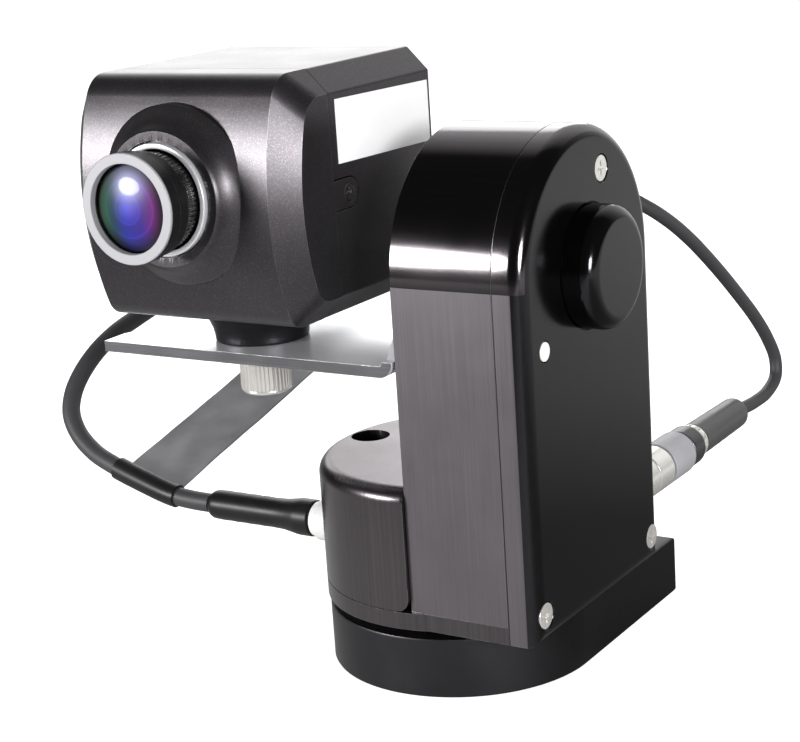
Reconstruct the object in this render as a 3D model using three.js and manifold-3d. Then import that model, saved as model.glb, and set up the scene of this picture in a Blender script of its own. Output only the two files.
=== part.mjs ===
// Remote pan and tilt head with a small box camera on its side platform.
// Millimetres, +Z up, front towards -Y. The origin is on the pan axis at the underside of the base.

import * as THREE from 'three';
import { mergeVertices } from 'three/addons/utils/BufferGeometryUtils.js';
import Module from 'manifold-3d';

const wasm = await Module();
wasm.setup();

// Fits shared by all pieces
const fit = 0.2;              // radial gap round a screw or a part held in a hole
const runGap = 0.3;           // gap between parts that move past each other
const seatGap = 0.1;          // gap under a screw head or a seated part in a turned place
const overrun = 2;            // how far a cutting body runs past a face
const weld = 1e-4;            // corners closer than this are one

// Base
const baseRadius = 24.85;
const baseRear = 38.9;
const baseHeight = 11.1;
const baseChamfer = 0.5;
const baseWall = 2.6;
const baseRoof = 2.8;
const basePlate = 2;
const basePostInset = 3.6;
const basePostRadius = 4;
const baseScrewLength = 5.5;

// Quarter inch tripod thread in a flanged bush
const tripodBore = 3.175;
const bushY = 13;
const bushRadius = 5.2;
const bushFlangeRadius = 7.4;
const bushFlange = 1.4;
const bushHeight = 6;

// Sockets in the rear wall of the base
const rearSocketX = 10;
const rearSocketRadius = 2.6;
const rearSocketNut = 3.9;
const rearSocketDepth = 7.5;
const rearSocketProud = 1.4;
const rearSocketBore = 1.7;

// Countersunk screws of the covers, M2.5
const screwHead = 2.35;
const screwHeadHeight = 1.4;
const screwShank = 1.25;

// Pan bearing, axle and fixed ring gear
const panGap = 1.6;
const panPlate = 3.1;
const axleRadius = 8;
const axleBore = 5.6;
const axleTop = 31;
const axleFoot = 6.4;
const axleFlange = 13;
const axleFlangeHeight = 0.8;
const axleShoulder = 9.4;
const bearingOuter = 12.4;
const bearingHeight = 3;
const gearCollar = 1;
const gearThickness = 3;
const slipRadius = 5.1;
const slipHead = 7.6;
const slipHeadHeight = 1.4;
const slipRotor = 2.6;
const slipRotorHeight = 1.8;

// Gear trains, the same module and tooth counts for pan and tilt
const gearModule = 0.6;
const wheelTeeth = 36;
const pinionTeeth = 14;
const pressureAngle = 25 * Math.PI / 180;
const addendumShare = 0.85;
const dedendumShare = 1.15;
const backlash = 0.16;
const pinionShaft = 1.2;
const pinionGrip = 5;

// Gear motors
const motorRadius = 6.4;
const motorLength = 10.6;
const motorRim = 0.6;
const motorCap = 4.2;
const motorCapHeight = 1.6;
const panMotorAngle = 127 * Math.PI / 180;
const pedestalWall = 1.5;

// Turret under the platform
const turretRadius = 25.2;
const turretHeight = 25.6;
const turretFillet = 2.6;
const turretWall = 2.4;
const turretRoof = 2.2;
const turretCornerRadius = 2.6;
const turretHoleX = -19.2;
const turretHoleY = 1;
const turretHoleRadius = 3.64;
const turretPostRadius = 3;
const turretPostX = -1.9;
const turretPostHeight = 8;
const turretScrewLength = 7;

// Tilt arm
const armInner = 3.5;
const armSeam = 22.9;
const armHalfDepth = 24.2;
const armWall = 2.5;
const armEdge = 0.4;
const tiltAxisHeight = 61;
const armScrewInset = 3.15;
const armScrewZ = 5.1;
const armScrewLength = 8;
const armTopScrewInset = 7.38;
const armTopScrewLean = 20.54 * Math.PI / 180;
const armBossRadius = 3.1;
const armTopBossRadius = 5.2;

// Side cover and tilt cap
const coverThickness = 5.75;
const coverFillet = 2.75;
const coverWall = 2.6;
const capRadius = 10.7;
const capProud = 5.95;
const capRound = 2;
const capRecessRadius = 11.2;
const capRecessDepth = 1;
const lampInset = 6.8;
const lampZ = -10.8;
const lampRadius = 1.7;
const lampProud = 0.2;
const lampFlange = 0.9;

// Tilt shaft, its two bearings and the tilt gear
const shaftRadius = 4;
const shaftBolt = 1.5;
const tiltBearingOuter = 6;
const tiltBearingWidth = 3.5;
const tiltBossWall = 1.6;
const tiltGearX = 18.9;
const tiltCollarRadius = 6.2;
const tiltCollarLength = 2.8;

// Control board in the arm
const boardX = 12;
const boardInset = 3.7;
const boardBottom = 7.3;
const boardTop = 35.5;
const boardThickness = 1.6;
const boardHoleInset = 2.4;
const boardPostRadius = 1.9;
const chipHeight = 1.4;
const chipSize = 8;

// Camera platform, an L bracket of bent plate
const platformDrop = 13.9;
const platformThickness = 2;
const platformFront = -24.3;
const platformBack = -0.5;
const platformTip = -59.9;
const platformTipFront = -18.5;
const platformTipBack = -52;
const platformArmGap = 0.6;
const platformBend = 2.6;
const platformHubRadius = 11;
const platformBoltHead = 3.4;
const platformBoltHeight = 1.9;
const platformBoltLength = 7;
const platformBoltKey = 1.7;
const platformBoltKeyDepth = 1.1;

// Knurled camera screw, quarter inch thread
const knobRadius = 4.76;
const knobHeight = 8.3;
const knobChamfer = 0.6;
const knobRidges = 24;
const knobRidgeDepth = 0.22;
const knobShank = 2.9;
const knobShankLength = 5.2;
const knobBoreDepth = 6;

// Camera body
const cameraX = -32.7;
const cameraY = -11.8;
const neckHeight = 6.5;
const neckFoot = 9.45;
const neckWaist = 8.9;
const neckHead = 11.1;
const cameraWidth = 47.94;
const cameraHeight = 43.25;
const cameraRear = 12.7;
const cameraSeam = -20.3;
const cameraNose = -34;
const cameraNoseRadius = 50;
const cameraChamfer = 4.2;
const cameraWall = 2;
const noseWall = 2.4;
const noseCavity = 5;
const noseEdge = 1.6;
const cameraPanel = 1.6;
const cameraPanelInset = 0.6;
const tabWidth = 5.1;
const tabLength = 7.2;
const tabScrewBack = 4.7;
const tabScrewHead = 1.5;
const tabScrewHeadHeight = 0.7;
const tabScrewShank = 0.8;
const tabScrewLength = 3.6;
const sensorBoardY = -17;
const sensorBoardHalf = 15;
const sensorBoardThickness = 1.4;
const sensorPostRadius = 1.8;
const sensorPostInset = 2.6;
const sensorHalf = 3.2;
const sensorHeight = 1;

// Lens mount and lens, on one axis
const lensZ = 23.3;
const mountRim = -37.2;
const mountRimRadius = 11.8;
const mountFootRadius = 14.8;
const mountNeckRadius = 12.6;
const mountBore = 8.8;
const mountRecess = 10.1;
const mountRecessDepth = 1.2;
const lockRadius = 9.7;
const lockFront = -38;
const barrelRadius = 8.4;
const barrelRear = -28;
const barrelSlotDepth = 0.35;
const barrelRibs = 3;
const barrelRibPitch = 1;
const barrelRibStart = -40.2;
const lensFront = -46.4;
const frontRingRadius = 9.4;
const frontRingLength = 2.8;
const frontRingBore = 7.9;
const glassRadius = 7.5;
const glassEdge = 1.1;
const glassDome = 2;
const glassRecess = 0.3;
const barrelBore = 5.8;

// Jacks and plugs on the rear of the camera
const jackZ = 13.7;
const videoJackInset = 10.67;
const powerJackInset = 11.27;
const jackNut = 4.5;
const jackNutHeight = 1.4;
const jackRadius = 3.8;
const jackProud = 4;
const jackDepth = 3;
const jackBore = 2.4;
const plugRadius = 4.3;
const plugLength = 12.5;
const plugTaper = 6.5;

// Cable on the turret side
const turretSocketRise = 4.7;
const socketRadius = 3.6;
const socketNut = 4.5;
const socketNutHeight = 1.7;
const socketDepth = 6.4;
const socketProud = 1.9;
const leftPlugRadius = 4;
const leftPlugEnd = 32.2;
const leftBootRadius = 3.6;
const leftBootWaist = 2.95;
const leftBootEnd = 57.4;
const leftCableRadius = 1.9;
const leftPlugCableRadius = 2.6;
const tagWall = 0.6;
const tagStartShare = 0.055;
const tagEndShare = 0.125;
const tagWidth = 13;
const tagLength = 59;
const tagRiseShare = 0.24;
const tagThickness = 0.6;
const tagSlopeShare = -0.25;

// Cable on the rear of the arm
const armSocketX = 18;
const armSocketRise = 6.8;
const armSocketBody = 2.9;
const armSocketDepth = 5.5;
const sleeveRadius = 4.5;
const sleeveEnd = 49.3;
const barrelPlugRadius = 4;
const barrelPlugEnd = 56.5;
const plugGroove = 0.6;
const plugGrooveWidth = 1.3;
const clampEnd = 62;
const clampChamfer = 0.8;
const crimpRadius = 3.4;
const crimpEnd = 66;
const rightBootRadius = 3.5;
const rightBootWaist = 2.9;
const rightBootEnd = 86.7;
const rightCableRadius = 1.4;
const bootChamfer = 1.1;

// Heights and places that follow from these
const panUnder = baseHeight + panGap;
const panTop = panUnder + panPlate;
const tiltAxisZ = panUnder + tiltAxisHeight;
const coverOuter = armSeam + coverThickness;
const wheelPitch = gearModule * wheelTeeth / 2;
const pinionPitch = gearModule * pinionTeeth / 2;
const gearDistance = wheelPitch + pinionPitch;
const wheelTip = wheelPitch + gearModule * addendumShare;
const pinionTip = pinionPitch + gearModule * addendumShare;
const bearingBottom = panUnder + fit;
const ringGearBottom = bearingBottom + bearingHeight;
const ringTeethBottom = ringGearBottom + gearCollar;
const ringTeethTop = ringTeethBottom + gearThickness;
const panWell = bearingOuter + fit;
const wellRadius = wheelTip + pedestalWall;
const panMotorX = gearDistance * Math.cos(panMotorAngle);
const panMotorY = gearDistance * Math.sin(panMotorAngle);
const panMotorBottom = ringTeethTop + runGap + runGap;
const turretTop = panUnder + turretHeight;
const platformTop = -platformDrop;
const platformUnder = platformTop - platformThickness;
const legInner = armInner - platformArmGap;
const legOuter = legInner - platformThickness;
const cameraBottom = tiltAxisZ + platformTop + neckHeight;
const cameraHalf = cameraWidth / 2;
const cameraMiddle = cameraHeight / 2;
const armScrewY = armHalfDepth - armScrewInset;
const armTopScrewReach = armHalfDepth - armTopScrewInset;
const armTopScrewY = armTopScrewReach * Math.sin(armTopScrewLean);
const armTopScrewZ = armTopScrewReach * Math.cos(armTopScrewLean);
const lampY = lampInset - armHalfDepth;
const boardHalfWidth = armHalfDepth - armWall - boardInset;
const turretSocketZ = panTop + turretSocketRise;
const armSocketZ = panTop + armSocketRise;
const videoJackX = videoJackInset - cameraHalf;
const powerJackX = cameraHalf - powerJackInset;

// Looks
const black = { color: 0x1d1d1f, roughness: 0.36, metalness: 0.85 };
const satin = { color: 0x2c2b2b, roughness: 0.42, metalness: 0.8 };
const powder = { color: 0x2a2927, roughness: 0.5, metalness: 0.7 };
const bright = { color: 0xb9c0c8, roughness: 0.22, metalness: 1 };
const nickel = { color: 0xbdb9b0, roughness: 0.3, metalness: 1 };
const steel = { color: 0xa9abad, roughness: 0.32, metalness: 1 };
const brass = { color: 0xb5954c, roughness: 0.35, metalness: 1 };
const rubber = { color: 0x26272a, roughness: 0.7, metalness: 0 };
const shrink = { color: 0x101011, roughness: 0.3, metalness: 0 };
const resin = { color: 0x1c3d2a, roughness: 0.55, metalness: 0 };
const plastic = { color: 0x19191b, roughness: 0.55, metalness: 0 };
const white = { color: 0xf2f2f2, roughness: 0.35, metalness: 0 };
const glassy = { color: 0x14102a, roughness: 0.05, metalness: 0 };

// Shapes and bodies

function steps(radius) {
  if (radius > capRecessRadius) return 22;
  if (radius > shaftRadius) return 14;
  if (radius > screwHead) return 10;
  return 8;
}

function shapeOf(points) {
  return new THREE.Shape(points.map(([x, y]) => new THREE.Vector2(x, y)));
}

// A closed body of triangles with shared corners, faces outward
function closed(geometry) {
  if (geometry.userData.closed) return geometry;
  const bare = new THREE.BufferGeometry();
  bare.setAttribute('position', geometry.getAttribute('position').clone());
  if (geometry.index) bare.setIndex(geometry.index.clone());
  const merged = mergeVertices(bare, weld);
  const place = merged.getAttribute('position');
  const corners = merged.index.array;
  const a = new THREE.Vector3();
  const b = new THREE.Vector3();
  const c = new THREE.Vector3();
  const kept = [];
  let volume = 0;
  for (let i = 0; i < corners.length; i += 3) {
    const [p, q, r] = [corners[i], corners[i + 1], corners[i + 2]];
    if (p === q || q === r || r === p) continue;
    kept.push(p, q, r);
    a.fromBufferAttribute(place, p);
    b.fromBufferAttribute(place, q);
    c.fromBufferAttribute(place, r);
    volume += a.dot(b.cross(c));
  }
  if (volume < 0) {
    for (let i = 0; i < kept.length; i += 3) [kept[i], kept[i + 1]] = [kept[i + 1], kept[i]];
  }
  merged.setIndex(kept);
  merged.userData.closed = true;
  return merged;
}

function toSolid(geometry) {
  const body = closed(geometry);
  const vertProperties = new Float32Array(body.getAttribute('position').array);
  const triVerts = new Uint32Array(body.index.array);
  return new wasm.Manifold(new wasm.Mesh({ numProp: 3, vertProperties, triVerts }));
}

function fromSolid(solid) {
  const mesh = solid.getMesh();
  const geometry = new THREE.BufferGeometry();
  geometry.setAttribute('position', new THREE.BufferAttribute(mesh.vertProperties, 3));
  geometry.setIndex(new THREE.BufferAttribute(mesh.triVerts, 1));
  geometry.userData.closed = true;
  return geometry;
}

function join(first, ...others) {
  return fromSolid(others.reduce((solid, other) => solid.add(toSolid(other)), toSolid(first)));
}

function cut(first, ...others) {
  return fromSolid(others.reduce((solid, other) => solid.subtract(toSolid(other)), toSolid(first)));
}

function common(first, other) {
  return fromSolid(toSolid(first).intersect(toSolid(other)));
}

function shifted(geometry, x, y, z) {
  const copy = geometry.clone();
  copy.userData = { ...geometry.userData };
  return copy.translate(x, y, z);
}

function remapped(geometry, matrix) {
  const copy = geometry.clone();
  copy.userData = { ...geometry.userData };
  return copy.applyMatrix4(matrix);
}

// Quarter turns: the body's own Z axis is laid along X, -X, Y or -Y
const zToX = new THREE.Matrix4().set(0, 0, 1, 0, 1, 0, 0, 0, 0, 1, 0, 0, 0, 0, 0, 1);
const zToMinusX = new THREE.Matrix4().set(0, 0, -1, 0, -1, 0, 0, 0, 0, 1, 0, 0, 0, 0, 0, 1);
const zToY = new THREE.Matrix4().set(-1, 0, 0, 0, 0, 0, 1, 0, 0, 1, 0, 0, 0, 0, 0, 1);
const zToMinusY = new THREE.Matrix4().set(1, 0, 0, 0, 0, 0, -1, 0, 0, 1, 0, 0, 0, 0, 0, 1);
const zToMinusZ = new THREE.Matrix4().set(-1, 0, 0, 0, 0, 1, 0, 0, 0, 0, -1, 0, 0, 0, 0, 1);
const swapYZ = new THREE.Matrix4().set(1, 0, 0, 0, 0, 0, 1, 0, 0, 1, 0, 0, 0, 0, 0, 1);

function prism(shape, from, to, curveSegments = 12) {
  const geometry = new THREE.ExtrudeGeometry(shape, { depth: to - from, bevelEnabled: false, curveSegments });
  return geometry.translate(0, 0, from);
}

function beveled(shape, from, to, bevel, bevelSegments, curveSegments = 12) {
  const geometry = new THREE.ExtrudeGeometry(shape, {
    depth: to - from - bevel - bevel,
    bevelEnabled: true,
    bevelThickness: bevel,
    bevelSize: bevel,
    bevelOffset: -bevel,
    bevelSegments,
    curveSegments,
  });
  return geometry.translate(0, 0, from + bevel);
}

// A revolve about Z of [radius, height] corners
function turned(profile, segments) {
  const widest = Math.max(...profile.map(([radius]) => radius));
  const points = profile.map(([radius, height]) => new THREE.Vector2(radius, height));
  const geometry = new THREE.LatheGeometry(points, segments ?? steps(widest));
  return geometry.rotateX(Math.PI / 2);
}

// A closed body through convex loops of equally many points
function lofted(loops) {
  const count = loops[0].length;
  const geometry = new THREE.BufferGeometry();
  geometry.setAttribute('position', new THREE.Float32BufferAttribute(loops.flat(2), 3));
  const faces = [];
  const last = (loops.length - 1) * count;
  for (let corner = 1; corner < count - 1; corner += 1) {
    faces.push(0, corner + 1, corner);
    faces.push(last, last + corner, last + corner + 1);
  }
  for (let loop = 0; loop < loops.length - 1; loop += 1) {
    for (let corner = 0; corner < count; corner += 1) {
      const [here, next] = [loop * count + corner, loop * count + (corner + 1) % count];
      faces.push(here, next, next + count, here, next + count, here + count);
    }
  }
  geometry.setIndex(faces);
  return closed(geometry);
}

function rod(radius, from, to, segments) {
  return turned([[0, from], [radius, from], [radius, to], [0, to]], segments);
}

function ring(outer, inner, from, to, segments) {
  const profile = [[inner, from], [outer, from], [outer, to], [inner, to], [inner, from]];
  return turned(profile, segments);
}

function block(x0, x1, y0, y1, z0, z1) {
  const box = new THREE.BoxGeometry(x1 - x0, y1 - y0, z1 - z0);
  return box.translate((x0 + x1) / 2, (y0 + y1) / 2, (z0 + z1) / 2);
}

function piece(parent, name, look, geometry) {
  const body = closed(geometry);
  body.computeVertexNormals();
  const mesh = new THREE.Mesh(body, new THREE.MeshStandardMaterial({ ...look, flatShading: true }));
  mesh.name = name;
  parent.add(mesh);
  return mesh;
}

// Countersunk screw along Z: the head's face is at 0 and the shank runs down
function countersunk(head, headHeight, shank, length) {
  return turned([
    [0, -length],
    [shank, -length],
    [shank, -headHeight],
    [head, -fit],
    [head, 0],
    [0, 0],
  ]);
}

// The space that such a screw needs
function countersink(head, headHeight, shank, length) {
  return turned([
    [0, -length - fit],
    [shank + fit, -length - fit],
    [shank + fit, -headHeight - fit],
    [head + fit, -fit - fit],
    [head + fit, overrun],
    [0, overrun],
  ]);
}

const coverScrewBody = () => countersunk(screwHead, screwHeadHeight, screwShank, armScrewLength);

// Involute gear outline, each flank from the root through the pitch circle to the tip
function gearOutline(teeth, toothAt, boreRadius) {
  const pitch = gearModule * teeth / 2;
  const baseCircle = pitch * Math.cos(pressureAngle);
  const tip = pitch + gearModule * addendumShare;
  const root = pitch - gearModule * dedendumShare;
  const involute = (angle) => Math.tan(angle) - angle;
  const half = (radius) => {
    const angle = Math.acos(Math.min(1, baseCircle / Math.max(radius, baseCircle)));
    return Math.PI / teeth / 2 + involute(pressureAngle) - involute(angle) - backlash / pitch / 2;
  };
  const radii = teeth > pinionTeeth ? [root, tip] : [root, pitch, tip];
  const outline = new THREE.Shape();
  for (let tooth = 0; tooth < teeth; tooth += 1) {
    const centre = toothAt + tooth * 2 * Math.PI / teeth;
    const rising = radii.map((radius) => [radius, centre - half(radius)]);
    const falling = radii.map((radius) => [radius, centre + half(radius)]).reverse();
    for (const [radius, angle] of [...rising, ...falling]) {
      const x = radius * Math.cos(angle);
      const y = radius * Math.sin(angle);
      if (outline.curves.length === 0 && outline.currentPoint.lengthSq() === 0) outline.moveTo(x, y);
      else outline.lineTo(x, y);
    }
  }
  outline.closePath();
  if (boreRadius > 0) outline.holes.push(new THREE.Path().absarc(0, 0, boreRadius, 0, 2 * Math.PI, true));
  return outline;
}

// Base

function baseOutline(inset) {
  const radius = baseRadius - inset;
  const outline = new THREE.Shape();
  outline.moveTo(radius, baseRear - inset);
  outline.lineTo(-radius, baseRear - inset);
  outline.lineTo(-radius, 0);
  outline.absarc(0, 0, radius, Math.PI, 2 * Math.PI);
  outline.closePath();
  return outline;
}

const basePostX = baseRadius - baseWall - basePostInset;
const basePostY = baseRear - baseWall - basePostInset;
const basePosts = [[0, -basePostX], [basePostX, basePostY], [-basePostX, basePostY]];
const rearSocketZ = (basePlate + baseHeight - baseRoof) / 2;

function makeBase() {
  const group = new THREE.Group();
  const roofUnder = baseHeight - baseRoof;
  const outer = beveled(baseOutline(0), 0, baseHeight, baseChamfer, 1, 9);
  const inner = prism(baseOutline(baseWall), -overrun, roofUnder, 7);
  const posts = basePosts.map(([x, y]) => shifted(rod(basePostRadius, basePlate, roofUnder + fit), x, y, 0));
  const inPlan = prism(baseOutline(baseWall / 2), 0, baseHeight, 7);
  const holes = basePosts.map(([x, y]) =>
    shifted(rod(screwShank + fit, 0, baseScrewLength + fit), x, y, 0));
  const socketHoles = [-rearSocketX, rearSocketX].map((x) =>
    shifted(remapped(rod(rearSocketRadius + fit, -baseWall - overrun, overrun), zToY), x, baseRear, rearSocketZ));
  const axleHole = rod(axleRadius + fit, 0, baseHeight + overrun);
  let housing = cut(outer, inner);
  for (const post of posts) housing = join(housing, common(post, inPlan));
  piece(group, 'base_housing', black, cut(housing, axleHole, ...holes, ...socketHoles));

  const plate = prism(baseOutline(baseWall + fit), 0, basePlate, 9);
  const bushHole = shifted(rod(bushRadius + fit, -overrun, basePlate + overrun), 0, bushY, 0);
  const sinks = basePosts.map(([x, y]) => {
    const sink = countersink(screwHead, screwHeadHeight, screwShank, baseScrewLength);
    return shifted(remapped(sink, zToMinusZ), x, y, 0);
  });
  piece(group, 'base_bottom_plate', black, cut(plate, bushHole, ...sinks));
  basePosts.forEach(([x, y], index) => {
    const screw = countersunk(screwHead, screwHeadHeight, screwShank, baseScrewLength);
    const mesh = piece(group, `base_screw_${index + 1}`, steel, remapped(screw, zToMinusZ));
    mesh.position.set(x, y, seatGap);
  });

  const bush = turned([
    [tripodBore, 0],
    [bushRadius, 0],
    [bushRadius, basePlate],
    [bushFlangeRadius, basePlate],
    [bushFlangeRadius, basePlate + bushFlange],
    [bushRadius, basePlate + bushFlange],
    [bushRadius, bushHeight],
    [tripodBore, bushHeight],
    [tripodBore, 0],
  ], 12);
  piece(group, 'tripod_bush', brass, bush).position.set(0, bushY, 0);

  const axle = turned([
    [axleBore, axleFoot],
    [axleRadius, axleFoot],
    [axleRadius, baseHeight],
    [axleFlange, baseHeight],
    [axleFlange, baseHeight + axleFlangeHeight],
    [axleShoulder, baseHeight + axleFlangeHeight],
    [axleShoulder, bearingBottom],
    [axleRadius, bearingBottom],
    [axleRadius, axleTop],
    [axleBore, axleTop],
    [axleBore, axleFoot],
  ], 16);
  piece(group, 'pan_axle', steel, axle);

  const slip = turned([
    [0, axleFoot],
    [slipRadius, axleFoot],
    [slipRadius, axleTop],
    [slipHead, axleTop],
    [slipHead, axleTop + slipHeadHeight],
    [slipRotor, axleTop + slipHeadHeight],
    [slipRotor, axleTop + slipHeadHeight + slipRotorHeight],
    [0, axleTop + slipHeadHeight + slipRotorHeight],
  ]);
  piece(group, 'slip_ring', plastic, slip);

  const teeth = prism(gearOutline(wheelTeeth, panMotorAngle, axleRadius + fit), ringTeethBottom, ringTeethTop);
  const collar = ring(axleShoulder, axleRadius + fit, ringGearBottom, ringTeethBottom, 24);
  piece(group, 'pan_ring_gear', steel, join(teeth, collar));

  const socket = cut(
    turned([
      [0, -rearSocketDepth],
      [rearSocketRadius, -rearSocketDepth],
      [rearSocketRadius, 0],
      [rearSocketNut, 0],
      [rearSocketNut, rearSocketProud],
      [0, rearSocketProud],
    ], 12),
    rod(rearSocketBore, -rearSocketDepth / 2, rearSocketProud + overrun),
  );
  const named = [['control_socket', -rearSocketX], ['video_socket', rearSocketX]];
  for (const [name, x] of named) {
    piece(group, name, nickel, remapped(socket, zToY)).position.set(x, baseRear, rearSocketZ);
  }
  return group;
}

// Pan head: plate, arm, side cover and turret cover, which all turn on the base

function armOutline(inset, bottom) {
  const radius = armHalfDepth - inset;
  const outline = new THREE.Shape();
  outline.moveTo(-radius, bottom);
  outline.lineTo(radius, bottom);
  outline.lineTo(radius, tiltAxisZ);
  outline.absarc(0, tiltAxisZ, radius, 0, Math.PI);
  outline.closePath();
  return outline;
}

const armScrews = [
  [-armScrewY, panUnder + armScrewZ, armBossRadius],
  [armScrewY, panUnder + armScrewZ, armBossRadius],
  [armTopScrewY, tiltAxisZ + armTopScrewZ, armTopBossRadius],
];

function panPlateOutline() {
  const sweep = Math.acos(armInner / turretRadius);
  const outline = new THREE.Shape();
  outline.moveTo(armSeam, -armHalfDepth);
  outline.lineTo(armSeam, armHalfDepth);
  outline.lineTo(armInner, armHalfDepth);
  outline.absarc(0, 0, turretRadius, sweep, 2 * Math.PI - sweep);
  outline.lineTo(armInner, -armHalfDepth);
  outline.closePath();
  return outline;
}

const turretPostY = turretRadius - turretWall - turretPostRadius + fit;
const turretPosts = [[turretPostX, -turretPostY], [turretPostX, turretPostY]];

function makePanPlate() {
  const plate = prism(panPlateOutline(), panUnder, panTop, 13);
  const seat = rod(panWell, panUnder - overrun, panTop + overrun, 24);
  const pedestal = shifted(rod(motorRadius, panTop - fit, panMotorBottom), panMotorX, panMotorY, 0);
  const pinionRoom = shifted(rod(pinionTip + runGap + fit, panTop, panMotorBottom + overrun), panMotorX, panMotorY, 0);
  const wheelRoom = rod(wheelTip + runGap + fit, panTop, panMotorBottom + overrun, 24);
  const sinks = turretPosts.map(([x, y]) => {
    const sink = countersink(screwHead, screwHeadHeight, screwShank, turretScrewLength);
    return shifted(remapped(sink, zToMinusZ), x, y, panUnder);
  });
  return cut(join(plate, pedestal), seat, pinionRoom, wheelRoom, ...sinks);
}

function makeArmFrame() {
  const side = (shape, from, to, segments) => remapped(prism(shape, from, to, segments), zToX);
  const outer = remapped(beveled(armOutline(0, panTop), armInner - armEdge, armSeam + armEdge, armEdge, 1, 10), zToX);
  const slab = block(armInner, armSeam, -armHalfDepth, armHalfDepth, 0, tiltAxisZ + armHalfDepth);
  const cavity = side(armOutline(armWall, panTop + armWall), armInner + armWall, armSeam + overrun, 8);
  const floorX = armInner + armWall;
  const boss = shifted(remapped(rod(tiltBearingOuter + tiltBossWall, floorX - fit, floorX + tiltBearingWidth - fit), zToX), 0, 0, tiltAxisZ);
  const seat = shifted(remapped(rod(tiltBearingOuter + fit, floorX - seatGap, floorX + overrun + tiltBearingWidth), zToX), 0, 0, tiltAxisZ);
  const shaftHole = shifted(remapped(rod(shaftRadius + runGap, 0, armSeam), zToX), 0, 0, tiltAxisZ);
  const screwBosses = armScrews.map(([y, z, radius]) =>
    shifted(remapped(rod(radius, armSeam - armScrewLength, armSeam), zToX), 0, y, z));
  const screwHoles = armScrews.map(([y, z]) =>
    shifted(remapped(rod(screwShank + fit, coverOuter - armScrewLength - fit, armSeam + overrun), zToX), 0, y, z));
  const boardPosts = boardCorners().map(([y, z]) =>
    shifted(remapped(rod(boardPostRadius, floorX - fit, boardX), zToX), 0, y, z));
  const within = side(armOutline(armWall / 2, panTop), armInner, armSeam, 8);
  const well = rod(wellRadius, panTop - overrun, axleTop + slipHeadHeight + slipRotorHeight + runGap, 24);
  const socketHole = shifted(remapped(rod(armSocketBody + fit, -armSocketDepth - runGap, overrun), zToY), armSocketX, armHalfDepth, armSocketZ);
  let frame = cut(common(outer, slab), cavity);
  frame = join(frame, boss, ...boardPosts);
  for (const screwBoss of screwBosses) frame = join(frame, common(screwBoss, within));
  return cut(frame, seat, shaftHole, well, socketHole, ...screwHoles);
}

function boardCorners() {
  const y = boardHalfWidth - boardHoleInset;
  const low = panTop + boardBottom + boardHoleInset;
  const high = panTop + boardTop - boardHoleInset;
  return [[-y, low], [y, low], [-y, high], [y, high]];
}

function makeSideCover() {
  const depth = coverThickness + coverFillet + coverFillet;
  const rounded = remapped(beveled(armOutline(0, panUnder), coverOuter - depth, coverOuter, coverFillet, 3, 10), zToX);
  const slab = block(armSeam, coverOuter, -armHalfDepth, armHalfDepth, 0, tiltAxisZ + armHalfDepth);
  const pocketFloor = coverOuter - coverWall;
  const pocket = remapped(prism(armOutline(armWall, panTop + armWall), armSeam - overrun, pocketFloor, 8), zToX);
  const bossRadius = tiltBearingOuter + tiltBossWall;
  const boss = shifted(remapped(rod(bossRadius, armSeam, pocketFloor + fit), zToX), 0, 0, tiltAxisZ);
  const seat = shifted(remapped(rod(tiltBearingOuter + fit, armSeam - overrun, pocketFloor), zToX), 0, 0, tiltAxisZ);
  const recess = shifted(remapped(rod(capRecessRadius, coverOuter - capRecessDepth, coverOuter + overrun), zToX), 0, 0, tiltAxisZ);
  const shaftHole = shifted(remapped(rod(shaftRadius + runGap, armSeam, coverOuter + overrun), zToX), 0, 0, tiltAxisZ);
  const screwBosses = armScrews.map(([y, z, radius]) =>
    shifted(remapped(rod(radius, armSeam, pocketFloor + fit), zToX), 0, y, z));
  const within = remapped(prism(armOutline(armWall / 2, panUnder), armSeam, coverOuter, 8), zToX);
  const sinks = armScrews.map(([y, z]) => {
    const sink = countersink(screwHead, screwHeadHeight, screwShank, armScrewLength);
    return shifted(remapped(sink, zToX), coverOuter, y, z);
  });
  const lampHole = shifted(remapped(rod(lampRadius + fit, armSeam, coverOuter + overrun), zToX), 0, lampY, tiltAxisZ + lampZ);
  let cover = cut(common(rounded, slab), pocket);
  cover = join(cover, boss);
  for (const screwBoss of screwBosses) cover = join(cover, common(screwBoss, within));
  return cut(cover, seat, recess, shaftHole, lampHole, ...sinks);
}

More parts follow.
